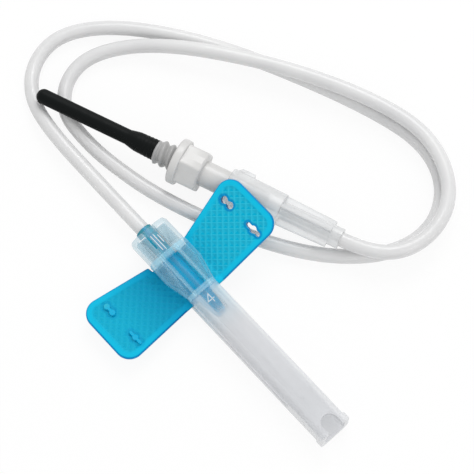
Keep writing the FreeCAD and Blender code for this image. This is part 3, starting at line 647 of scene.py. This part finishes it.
def adapter_shape():
    """Stations and radii of the adapter: male taper, barrel, grip, flange, thread, spigot."""
    angle = np.linspace(0.0, 2.0 * np.pi, ADAPTER_AROUND, endpoint=False)
    barrel = rounded_profile([
        (-7.5, 0.4), (-7.5, 2.0), (0.08, 2.225), (0.08, 2.575), (GRIP_START, 2.575),
    ], 0.3)
    rows = [(x, np.full(angle.shape, r)) for x, r in barrel]
    grip = np.minimum(faceted(angle - GRIP_TURN, FLAT_RADIUS, GRIP_SIDES), FLAT_RADIUS * 1.14)
    for x, shrink in ((GRIP_START, 0.45), (5.5, 0.18), (5.75, 0.0), (GRIP_END, 0.0)):
        rows.append((x, grip - shrink))
    flange = rounded_profile([
        (GRIP_END, 3.9), (GRIP_END, 4.65), (THREAD_START, 4.65), (THREAD_START, 2.3),
    ], 0.4)
    rows += [(x, np.full(angle.shape, r)) for x, r in flange]
    for x in np.linspace(THREAD_START, THREAD_END, 80):
        wave = 0.5 + 0.5 * np.cos(2.0 * np.pi * (x - 12.1) / THREAD_PITCH - angle)
        run_out = np.clip((THREAD_END - x) / 0.5, 0.0, 1.0)
        fade = run_out * np.clip((x - THREAD_START) / 0.4, 0.0, 1.0)
        rows.append((x, THREAD_ROOT + (THREAD_CREST - THREAD_ROOT) * fade * wave ** 0.8))
    spigot = ((THREAD_END, 1.25), (19.4, 1.25), (19.4, 0.39))
    rows += [(x, np.full(angle.shape, r)) for x, r in spigot]
    return np.array([row[0] for row in rows]), np.array([row[1] for row in rows])


adapter = turned("adapter", *adapter_shape(), around=ADAPTER_AROUND)
dress(adapter, milky_plastic)
places = np.empty(3 * len(adapter.data.vertices), np.float32)
adapter.data.vertices.foreach_get("co", places)
stations = ((places.reshape(-1, 3) - luer_mouth) @ luer_along) / MM
# Painted shade: the thread and the spigot get a darker grey past station 11.2.
thread_shade = adapter.data.attributes.new("thread_shade", "FLOAT", "POINT")
thread_shade.data.foreach_set("value", np.clip((stations - 11.2) / 0.6, 0.0, 1.0).astype(np.float32))
cloud_color = add_noise(milky_plastic, 220.0)
unshaded_white = blend_colors(milky_plastic, cloud_color, (0.58, 0.577, 0.57), (0.66, 0.655, 0.645))
thread_shade_white = blend_colors(milky_plastic, cloud_color, (0.34, 0.34, 0.34), (0.42, 0.42, 0.415))
on_thread_shade = attribute(milky_plastic, "thread_shade")
adapter_color = blend_colors(milky_plastic, on_thread_shade, unshaded_white, thread_shade_white)
wire(milky_plastic, adapter_color, "Base Color")
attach(adapter, "adapter")
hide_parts("adapter_body")

# %% [markdown]
# The black sleeve is a soft rubber finger. Its base is stretched over the spigot and
# has small moulded rings; the rest is straight, with a round tip.

# %% Rubber sleeve
SLEEVE_START = THREAD_END
SLEEVE_END = 42.3
SLEEVE_BASE = 2.1
SLEEVE_SHAFT = 1.53
SLEEVE_TIP = 1.5


def sleeve_shape():
    """Radius along the sleeve: ringed swelling, a shoulder, a plain shaft and a round tip."""
    swell_x = np.linspace(SLEEVE_START, SLEEVE_START + 6.2, 60)
    s = swell_x - SLEEVE_START
    narrowing = 0.13 * np.clip(s / 4.0, 0.0, 1.0)
    shoulder = 0.45 * np.clip((s - 4.0) / 2.2, 0.0, 1.0) ** 1.2
    swell = SLEEVE_BASE - narrowing - shoulder
    swell += 0.05 * np.cos(2.0 * np.pi * s / 0.8) * np.clip(1.0 - s / 4.5, 0.0, 1.0)
    swell = np.minimum(swell, SLEEVE_BASE)
    shaft_x = np.linspace(SLEEVE_START + 6.4, SLEEVE_END - SLEEVE_TIP, 30)
    shaft = np.full_like(shaft_x, SLEEVE_SHAFT)
    tip = np.linspace(0.0, 0.5 * np.pi, 14)[1:]
    tip_x = SLEEVE_END - SLEEVE_TIP + SLEEVE_TIP * np.sin(tip)
    tip_r = SLEEVE_SHAFT * np.cos(tip) + 0.01
    stations = np.concatenate([[SLEEVE_START], swell_x, shaft_x, tip_x])
    radii = np.concatenate([[1.3], swell, shaft, tip_r])
    return stations, radii


sleeve = turned("sleeve", *sleeve_shape(), around=64)
dress(sleeve, black_rubber)
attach(sleeve, "adapter")
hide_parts("rubber_sleeve")

# %% [markdown]
# The shield and the connector are already right as solids, so each is a copy of its CAD
# mesh. Its facets are merged, its flats joined, and its edges get a small round that
# catches the light, as moulded edges do.

# %% Clear mouldings
FLAT_ANGLE = math.radians(0.5)
EDGE_ANGLE = math.radians(32.0)


def moulded_copy(name, node, round_mm, walls, edges):
    """Copy of a CAD node: merged points, joined flats, sharp edges rounded by a bevel."""
    work = bmesh.new()
    work.from_mesh(node.data)
    bmesh.ops.remove_doubles(work, verts=work.verts, dist=1e-6)
    bmesh.ops.dissolve_limit(
        work, angle_limit=FLAT_ANGLE, verts=work.verts, edges=work.edges,
    )
    bmesh.ops.recalc_face_normals(work, faces=work.faces)
    mesh = bpy.data.meshes.new(name)
    work.to_mesh(mesh)
    work.free()
    mesh.polygons.foreach_set("use_smooth", np.ones(len(mesh.polygons), bool))
    mesh.set_sharp_from_angle(angle=EDGE_ANGLE)
    piece = bpy.data.objects.new(name, mesh)
    bpy.context.scene.collection.objects.link(piece)
    bevel = piece.modifiers.new("edge_round", "BEVEL")
    bevel.width = round_mm * MM
    bevel.segments = 2
    bevel.limit_method = "ANGLE"
    bevel.angle_limit = EDGE_ANGLE
    bevel.harden_normals = True
    bevel.material = 1
    dress(piece, walls)
    mesh.materials.append(edges)
    print(name, "has", len(mesh.polygons), "faces before its edges are rounded")
    return piece


shield = moulded_copy("shield", nodes["safety_shield"], 0.13, shield_walls, shield_edges)
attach(shield, "shield")
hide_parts("safety_shield")
connector = moulded_copy(
    "connector", nodes["tube_connector"], 0.07, connector_walls, connector_edge_shade,
)
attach(connector, "hub")
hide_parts("tube_connector")

# %% [markdown]
# The tube needs no step of its own here; it already rides on the hub's body.

# %% Cord
print("tube rides on the hub")

# %% [markdown]
# Small raised parts are closed prisms over a plan outline. Several shells can be joined
# into one piece.

# %% Raised parts
def at_heights(levels):
    """Points of plan outlines, each outline lifted to a height of its own."""
    return np.concatenate([
        np.column_stack([plan, np.full(len(plan), level)]) for plan, level in levels
    ])


def slab(outline, low, high, place, inset=0.0):
    """Closed prism between two heights over a plan outline, with its top edge drawn in.
    The rings are outline at low, outline at high - inset, and the shrunk outline at high."""
    outline = np.asarray(outline, float)
    middle = outline.mean(axis=0)
    reach = np.linalg.norm(outline - middle, axis=1, keepdims=True)
    drawn = middle + (outline - middle) * (1.0 - inset / reach)
    rings = [(outline, low), (outline, high - inset), (drawn, high)]
    return place(at_heights(rings)), ring_faces(len(rings), len(outline))


def joined(name, parts, made, smooth_angle=35.0):
    """One piece from several closed shells given as (points, faces)."""
    points, faces, offset = [], [], 0
    for shell_points, shell_faces in parts:
        points.append(shell_points)
        faces += [[corner + offset for corner in face] for face in shell_faces]
        offset += len(shell_points)
    piece = mesh_piece(name, np.concatenate(points), faces, smooth_angle)
    dress(piece, made)
    return piece


def stroke(start, end, width):
    """Outline of a round-ended bar between two plan points."""
    start, end = np.array(start, float), np.array(end, float)
    heading = math.atan2(end[1] - start[1], end[0] - start[0])
    swing = np.linspace(-0.5, 0.5, 9) * np.pi
    front = end + width / 2 * np.stack([np.cos(heading + swing), np.sin(heading + swing)], axis=-1)
    rear = start - width / 2 * np.stack([np.cos(heading + swing), np.sin(heading + swing)], axis=-1)
    return np.concatenate([front, rear])


print("raised part helpers ready")

# %% [markdown]
# A raised numeral stands on the shield just in front of the hood, and its stem lies along
# the needle. Each stroke is a thin round-ended bar. Five bars on the collar are ribs:
# three along the latch tongue and one across behind each window.

# %% Numeral and ribs
NUMERAL_STATION = 17.6
NUMERAL_SIDE = -0.25
NUMERAL_STROKE = 0.18
BAR_STATION = NUMERAL_STATION + 1.35
RIB_STROKE = 0.14
BARREL_TOP = 3.0
COLLAR_TOP = 3.8


def raised_bar(start, end, width, level, proud):
    """Bar on a flat top of the shield, sunk a little into it."""
    return slab(stroke(start, end, width), level - 0.05, level + proud, on_needle_axis, 0.03)


apex = (NUMERAL_STATION, NUMERAL_SIDE + 0.25)
foot = (NUMERAL_STATION + 2.0, NUMERAL_SIDE + 0.25)
bar_left = (BAR_STATION, NUMERAL_SIDE - 0.8)
bar_right = (BAR_STATION, NUMERAL_SIDE + 0.65)
raised_plastic = veiled("raised_plastic", (0.80, 0.88, 0.92), 0.3, 0.5)
vary_color(raised_plastic, 900.0, (0.76, 0.85, 0.90), (0.83, 0.90, 0.93))
# Painted highlight: the collar ribs are raised bars in a near-white copy of the raised finish,
# bright lines along the tongue and behind the windows.
highlight_plastic = veiled("highlight_plastic", (0.95, 0.97, 0.98), 0.25, 0.62)
vary_color(highlight_plastic, 900.0, (0.92, 0.95, 0.97), (0.97, 0.98, 0.99))
numeral = joined("numeral", [
    raised_bar(start, end, NUMERAL_STROKE, BARREL_TOP, 0.07)
    for start, end in ((apex, foot), (apex, bar_left), (bar_left, bar_right))
], raised_plastic)
ribs = joined("collar_ribs", [
    raised_bar(start, end, RIB_STROKE, COLLAR_TOP, 0.08)
    for start, end in (
        ((2.0, 0.0), (5.9, 0.0)), ((2.0, -0.62), (5.6, -0.62)), ((2.6, 0.62), (4.4, 0.62)),
        ((1.45, 1.5), (1.45, 3.0)), ((1.45, -3.0), (1.45, -1.5)),
    )
], highlight_plastic)
for piece in (numeral, ribs):
    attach(piece, "shield")

# %% [markdown]
# The hub is turned: a ring round the tube's end, a plain body and a tapered nose that
# holds the needle. Two pairs of saw teeth stand on it under the latch tongue's cuts.

# %% Hub
hub_profile = rounded_profile([
    (-0.6, 0.35), (-0.6, 1.5), (-1.0, 1.5), (-1.0, 1.75), (1.4, 1.75), (1.8, 1.6), (18.0, 1.6),
    (21.15, 1.24), (21.72, 0.95), (21.9, 0.6), (21.9, 0.34),
], 0.15)
hub = turned("hub", hub_profile[:, 0], hub_profile[:, 1], around=72, place=on_needle_axis)
dress(hub, blue_hub)
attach(hub, "hub")
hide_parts("needle_hub")


def beside_needle(points):
    """Turns a plan of (station, up) with a width into (station, side, up)."""
    return on_needle_axis(np.stack([points[:, 0], points[:, 2], points[:, 1]], axis=-1))


TOOTH_SIDE = [(2.2, 1.0), (2.2, 1.95), (3.3, 1.45), (3.3, 1.95), (4.4, 1.45), (4.4, 1.0)]
teeth = joined("latch_teeth", [
    slab(TOOTH_SIDE, low, low + 0.3, beside_needle) for low in (-1.3, 1.0)
], blue_hub, smooth_angle=20.0)
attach(teeth, "hub")

# %% [markdown]
# Each wing is one thin plate from inside the shield to its tip. Its plan has a straight
# web, two long edges that spread outwards and two round corners.

# %% Wing plan
HINGE_Y = 4.8
HINGE_Z = 3.525
WEB_ROOT = -3.35
WEB_REAR = 6.6
WEB_FRONT = 16.9
WING_REACH = 15.2
WING_THICKNESS = 1.05
CORNER_RADIUS = 3.0
BEND_HALF = 0.35
RIGHT_RAISE = math.radians(26.5)
LEFT_RAISE = math.radians(1.0)


def arc_corner(before, corner, after, radius, steps=24):
    """Tangent arc in place of a plan corner."""
    corner = np.array(corner, float)
    back_way = np.array(before, float) - corner
    next_way = np.array(after, float) - corner
    back_way /= np.linalg.norm(back_way)
    next_way /= np.linalg.norm(next_way)
    half = math.acos(np.clip(back_way @ next_way, -1.0, 1.0)) / 2
    middle_way = back_way + next_way
    centre = corner + middle_way / np.linalg.norm(middle_way) * radius / math.sin(half)
    start = corner + back_way * radius / math.tan(half) - centre
    end = corner + next_way * radius / math.tan(half) - centre
    first = math.atan2(start[1], start[0])
    turn = (math.atan2(end[1], end[0]) - first + math.pi) % (2 * math.pi) - math.pi
    angle = first + turn * np.linspace(0.0, 1.0, steps)
    return centre + radius * np.stack([np.cos(angle), np.sin(angle)], axis=-1)


REAR_LINE = [
    (WEB_REAR, WEB_ROOT), (WEB_REAR, -0.42), (WEB_REAR - 1.05, -0.34), (WEB_REAR - 1.2, 0.0),
]
FRONT_LINE = [(WEB_FRONT, WEB_ROOT), (WEB_FRONT, 0.0)]
rear_corner, front_corner = (2.9, WING_REACH), (17.6, WING_REACH)
rear_edge = np.vstack([
    REAR_LINE, arc_corner(REAR_LINE[-1], rear_corner, front_corner, CORNER_RADIUS),
])
front_edge = np.vstack([
    FRONT_LINE, arc_corner(FRONT_LINE[-1], front_corner, rear_corner, CORNER_RADIUS),
])


def wing_rows():
    """Distances from the hinge line at which the plate has a row of points."""
    corner_start = WING_REACH - CORNER_RADIUS
    plain = np.arange(WEB_ROOT, corner_start, 0.1)
    swing = np.linspace(0.0, 0.5 * np.pi, 52)
    return np.concatenate([plain, corner_start + CORNER_RADIUS * np.sin(swing)])


print("wing rows:", len(wing_rows()))

# %% [markdown]
# Both faces have a plain border and a waffled field, which runs on to the root. Two slots
# with round eyes are holes in the right wing and pegs on the left one.

# %% Wing relief
WING_BORDER = 1.25
WAFFLE_PITCH = 1.17
WAFFLE_DEPTH = 0.17
FIELD_DEPTH = 0.08
RIM_ROUND = 0.3
EYE_RADIUS = 0.75
SLOT_HALF = 0.45
INTERLOCK_REACH = 10.7
INTERLOCKS = {"rear": (7.0, 3.1, (-0.8, 0.8)), "front": (14.4, 3.7, (0.0,))}


def segment_distance(points, line):
    """Distance of each point to a plan line made of straight segments."""
    nearest = np.full(len(points), 1e9)
    for start, end in zip(line, line[1:]):
        way = end - start
        share = np.clip(((points - start) @ way) / (way @ way + 1e-12), 0.0, 1.0)
        gap = np.linalg.norm(points - start - share[:, None] * way, axis=1)
        nearest = np.minimum(nearest, gap)
    return nearest


def interlock(station, length, eyes, grow):
    """Plan of a slot with round eyes. At t along it the half width is the larger of the
    slot's and the eyes': sqrt(r^2 - (t - c)^2) for an eye of radius r at c."""
    radius, half = EYE_RADIUS + grow, SLOT_HALF + grow
    reach = max(length / 2 + grow, max(abs(eye) for eye in eyes) + radius)
    t = -reach * np.cos(np.linspace(0.0, np.pi, 61))
    past_straight = np.clip(np.abs(t) - (length / 2 - SLOT_HALF), 0.0, None)
    wide = np.sqrt(np.clip(half ** 2 - past_straight ** 2, 0.0, None))
    for eye in eyes:
        wide = np.maximum(wide, np.sqrt(np.clip(radius ** 2 - (t - eye) ** 2, 0.0, None)))
    upper = np.stack([station + t, INTERLOCK_REACH + wide], axis=-1)
    lower = np.stack([station + t, INTERLOCK_REACH - wide], axis=-1)[1:-1]
    return np.concatenate([upper, lower[::-1]])


def shaded_dimple_face(u, v, side):
    """The one face of a dimple that gets painted shade: along v on the right wing, along u on
    the left. u and v are measured from the dimple's middle."""
    lean, other = (v, u) if side > 0 else (u, v)
    return (lean > 0) & (np.abs(lean) > np.abs(other))


def wing_relief(points, side):
    """Depth below the flat plate, where the border lies, and the painted waffle and rim shade.
    A dimple is a small pyramid: depth = 1 - max(|u|, |v|) across its cell, u and v at 45
    degrees to the chord. The rim is rounded by a circle of radius RIM_ROUND."""
    outline = np.vstack([rear_edge, front_edge[::-1]])
    near = segment_distance(points, outline)
    inward = RIM_ROUND - np.clip(near, 0.0, RIM_ROUND)
    rounding = RIM_ROUND - np.sqrt(np.clip(RIM_ROUND ** 2 - inward ** 2, 0.0, None))
    field = np.clip((near - WING_BORDER) / 0.2, 0.0, 1.0)
    u = (points[:, 0] + points[:, 1]) / math.sqrt(2.0) / WAFFLE_PITCH % 1.0 - 0.5
    v = (points[:, 0] - points[:, 1]) / math.sqrt(2.0) / WAFFLE_PITCH % 1.0 - 0.5
    across = np.maximum(np.abs(u), np.abs(v)) * 2.0
    dimple = np.clip((0.9 - across) / 0.9, 0.0, 1.0)
    painted_face_shade = np.where(shaded_dimple_face(u, v, side), dimple > 0.0, 0.0)
    # Painted shade and highlight of the waffle: 0 lights a ridge, higher values shade a dimple, its
    # one face most.
    if side > 0:
        waffle_shade = np.clip(dimple * 8.0, 0.0, 0.55) + 0.45 * painted_face_shade
    else:
        waffle_shade = 0.6 + 0.1 * dimple + 0.3 * painted_face_shade
    depth = rounding + field * (FIELD_DEPTH + WAFFLE_DEPTH * dimple)
    # Painted shade: a dark band along the rim and round the interlocks, darkest round the right
    # wing's holes.
    outside = np.clip((points[:, 1] + 0.3) / 0.2, 0.0, 1.0)
    edge = np.clip((0.28 - near) / 0.2, 0.0, 1.0) * outside
    most = 0.9 if side > 0 else 0.2
    for plan in INTERLOCKS.values():
        loop = interlock(*plan, 0.0)
        beside = segment_distance(points, np.vstack([loop, loop[:1]]))
        edge = np.maximum(edge, np.clip((0.55 - beside) / 0.25, 0.0, most))
    shown = np.clip((near - WING_BORDER + 0.35) / 0.7, 0.0, 1.0)
    return depth, shown, waffle_shade, edge


print("interlocks:", ", ".join(INTERLOCKS))

# %% [markdown]
# A flat wing is bent softly where it leaves the shield. Its height above the table comes
# out of the same sum.

# %% Wing bend
def wing_place(side, raised):
    """Maps (station, reach, height) of a flat wing to world places of the bent one.
    The heading turns by a smooth step over the bend, and the reach is summed along it."""
    fine = np.linspace(WEB_ROOT - 0.1, WING_REACH + 0.1, 4000)
    share = np.clip((fine + BEND_HALF) / (2 * BEND_HALF), 0.0, 1.0)
    heading = raised * share * share * (3.0 - 2.0 * share)
    step = fine[1] - fine[0]
    out = np.concatenate([[0.0], np.cumsum(np.cos(heading[1:]) * step)])
    rise = np.concatenate([[0.0], np.cumsum(np.sin(heading[1:]) * step)])
    shift = np.interp(-BEND_HALF, fine, out) + BEND_HALF

    def place(points):
        reach = points[:, 1]
        angle = np.interp(reach, fine, heading)
        across = HINGE_Y + np.interp(reach, fine, out) - shift - points[:, 2] * np.sin(angle)
        up = HINGE_Z + np.interp(reach, fine, rise) + points[:, 2] * np.cos(angle)
        return np.stack([points[:, 0] + SHIELD_REAR, side * across, up], axis=-1) * MM

    return place


print("raised by degrees:", [round(math.degrees(a), 1) for a in (LEFT_RAISE, RIGHT_RAISE)])

# %% [markdown]
# The plate is a grid of rows across the chord, once for the top and once for the
# underside, so its dimples are equally sharp all over. Points crowd towards the rims.

# %% Wing plate
def wing_plate(name, side, place):
    """Grid with station(row, t) = rear edge + t (front edge - rear edge); closed as rings."""
    rows = wing_rows()
    rear = np.interp(rows, rear_edge[:, 1], rear_edge[:, 0])
    front = np.interp(rows, front_edge[:, 1], front_edge[:, 0])
    crowd = np.array([0.0, 0.003, 0.008, 0.015, 0.024, 0.035])
    t = np.concatenate([crowd, np.linspace(0.045, 0.955, 100), 1.0 - crowd[::-1]])
    station = rear[:, None] + t[None, :] * (front - rear)[:, None]
    plan = np.stack([station, np.repeat(rows[:, None], len(t), axis=1)], axis=-1).reshape(-1, 2)
    # The dimple attribute holds the waffle's painted shade and highlight; the edge attribute holds
    # the painted rim shade.
    depth, field, dimple, edge = wing_relief(plan, side)
    shape = station.shape
    top = np.concatenate([plan, -depth[:, None]], axis=1).reshape(*shape, 3)
    under = np.concatenate([plan, depth[:, None] - WING_THICKNESS], axis=1).reshape(*shape, 3)
    rings = np.concatenate([top, under[:, ::-1]], axis=1)
    mesh = bpy.data.meshes.new(name)
    faces = ring_faces(len(rows), rings.shape[1])
    mesh.from_pydata(place(rings.reshape(-1, 3)).tolist(), [], faces)
    for label, values in (("field", field), ("dimple", dimple), ("edge", edge)):
        values = values.reshape(shape)
        ringed = np.concatenate([values, values[:, ::-1]], axis=1).reshape(-1)
        layer = mesh.attributes.new(label, "FLOAT", "POINT")
        layer.data.foreach_set("value", ringed.astype(np.float32))
    if side > 0:
        mesh.flip_normals()
    mesh.polygons.foreach_set("use_smooth", np.ones(len(mesh.polygons), bool))
    mesh.set_sharp_from_angle(angle=math.radians(50.0))
    mesh.update()
    piece = bpy.data.objects.new(name, mesh)
    bpy.context.scene.collection.objects.link(piece)
    print(name, "has", len(mesh.polygons), "faces")
    return piece


def cut_holes(piece, cutter):
    """Cuts the cutter's shells out of a piece; the new walls keep the cutter's finish."""
    piece.data.materials.append(blue_cut_shade)
    cut = piece.modifiers.new("holes", "BOOLEAN")
    cut.operation = "DIFFERENCE"
    cut.solver = "EXACT"
    cut.material_mode = "TRANSFER"
    cut.object = cutter
    bpy.context.view_layer.update()
    view = bpy.context.evaluated_depsgraph_get()
    done = bpy.data.meshes.new_from_object(piece.evaluated_get(view))
    piece.modifiers.clear()
    piece.data = done
    bpy.data.objects.remove(cutter)


def hole_rim(plan, place):
    """Raised rim round a hole on the underside: a closed band through four outlines."""
    outer, inner = interlock(*plan, 0.3), interlock(*plan, 0.0)
    levels = [(outer, -0.9), (outer, -1.33), (inner, -1.33), (inner, -0.9)]
    count = len(outer)
    faces = ring_faces(len(levels) + 1, count)[:-2]
    faces = [[corner % (len(levels) * count) for corner in face] for face in faces]
    return place(at_heights(levels)), faces


print("wing helpers ready")

# %% [markdown]
# The left wing gets pegs and the right one holes with a rim below. The pegs and rims ride
# on the wing's body; the plate is baked in place, bent as it lies.

# %% Wings
for name, node, body, side, raised in (
    ("wing_plate_left", "wing_left", "left_wing", -1, LEFT_RAISE),
    ("wing_plate_right", "wing_right", "right_wing", 1, RIGHT_RAISE),
):
    place = wing_place(side, raised)
    plate = wing_plate(name, side, place)
    dress(plate, blue_wing)
    plans = list(INTERLOCKS.values())
    if side > 0:
        holes = [slab(interlock(*plan, 0.0), -2.0, 0.6, place) for plan in plans]
        cut_holes(plate, joined("cutter", holes, blue_cut_shade))
        rims = [hole_rim(plan, place) for plan in plans]
        raised_part = joined("wing_bosses", rims, blue_cut_shade)
    else:
        pegs = [slab(interlock(*plan, -0.15), -0.5, 0.4, place, 0.12) for plan in plans]
        raised_part = joined("wing_pegs", pegs, blue_hub)
    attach(raised_part, body)
    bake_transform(plate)
    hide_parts(node)

# %% [markdown]
# A plain white table. Rays from the camera see it nearly white by a mix, so that no
# extra light falls on the set.

# %% Table
FLOOR_REACH = 1.5
FLOOR_DROP = 0.00005
GLOW_SHARE = 0.9

floor_mesh = bpy.data.meshes.new("floor")
floor_corners = [(-1, -1), (1, -1), (1, 1), (-1, 1)]
floor_mesh.from_pydata(
    [(x * FLOOR_REACH, y * FLOOR_REACH, 0) for x, y in floor_corners], [], [(0, 1, 2, 3)],
)
floor_piece = bpy.data.objects.new("floor", floor_mesh)
floor_piece.location.z = -FLOOR_DROP
bpy.context.scene.collection.objects.link(floor_piece)


def seen_rays(tree):
    """One where a ray comes from the camera, a gloss reflection or a clear piece."""
    path = tree.nodes.new("ShaderNodeLightPath")
    total = path.outputs["Is Camera Ray"]
    for kind in ("Is Glossy Ray", "Is Transmission Ray"):
        join = tree.nodes.new("ShaderNodeMath")
        join.operation = "MAXIMUM"
        tree.links.new(total, join.inputs[0])
        tree.links.new(path.outputs[kind], join.inputs[1])
        total = join.outputs[0]
    return total


white_table = bpy.data.materials.new("white_table")
white_table.use_nodes = True
tree = white_table.node_tree
tree.nodes.clear()
output = tree.nodes.new("ShaderNodeOutputMaterial")
mix = tree.nodes.new("ShaderNodeMixShader")
matte = tree.nodes.new("ShaderNodeBsdfDiffuse")
matte.inputs["Color"].default_value = (0.9, 0.9, 0.9, 1.0)
glow = tree.nodes.new("ShaderNodeEmission")
glow.inputs["Color"].default_value = (1.0, 1.0, 1.0, 1.0)
share = tree.nodes.new("ShaderNodeMath")
share.operation = "MULTIPLY"
share.inputs[1].default_value = GLOW_SHARE
tree.links.new(seen_rays(tree), share.inputs[0])
tree.links.new(share.outputs[0], mix.inputs["Fac"])
tree.links.new(matte.outputs[0], mix.inputs[1])
tree.links.new(glow.outputs[0], mix.inputs[2])
tree.links.new(mix.outputs[0], output.inputs["Surface"])
dress(floor_piece, white_table)
print("table reaches", FLOOR_REACH, "m each way")

# %% [markdown]
# The light is a white sky and two large soft lamps above the set.

# %% Light
LIGHT_AIM = (-0.01, 0.01, 0.0)

world = bpy.data.worlds.new("studio")
bpy.context.scene.world = world
world.use_nodes = True
world_tree = world.node_tree
sky = world_tree.nodes["Background"]
strength = world_tree.nodes.new("ShaderNodeMapRange")
strength.inputs["To Min"].default_value = 0.75
strength.inputs["To Max"].default_value = 1.0
world_tree.links.new(seen_rays(world_tree), strength.inputs["Value"])
world_tree.links.new(strength.outputs["Result"], sky.inputs["Strength"])
sky.inputs["Color"].default_value = (1.0, 1.0, 1.0, 1.0)


def soft_box(name, place, aim, size, power):
    """Square area lamp that faces a point."""
    data = bpy.data.lights.new(name, "AREA")
    data.shape = "SQUARE"
    data.size = size
    data.energy = power
    lamp = bpy.data.objects.new(name, data)
    lamp.location = place
    lamp.rotation_mode = "QUATERNION"
    lamp.rotation_quaternion = (Vector(aim) - Vector(place)).to_track_quat("-Z", "Y")
    bpy.context.scene.collection.objects.link(lamp)


soft_box("key_box", (-0.25, 0.35, 0.5), LIGHT_AIM, 0.35, 1.6)
soft_box("fill_box", (0.4, -0.1, 0.4), LIGHT_AIM, 0.4, 0.5)
bpy.context.scene.view_settings.view_transform = "Standard"
print("lamps:", len(bpy.data.lights))
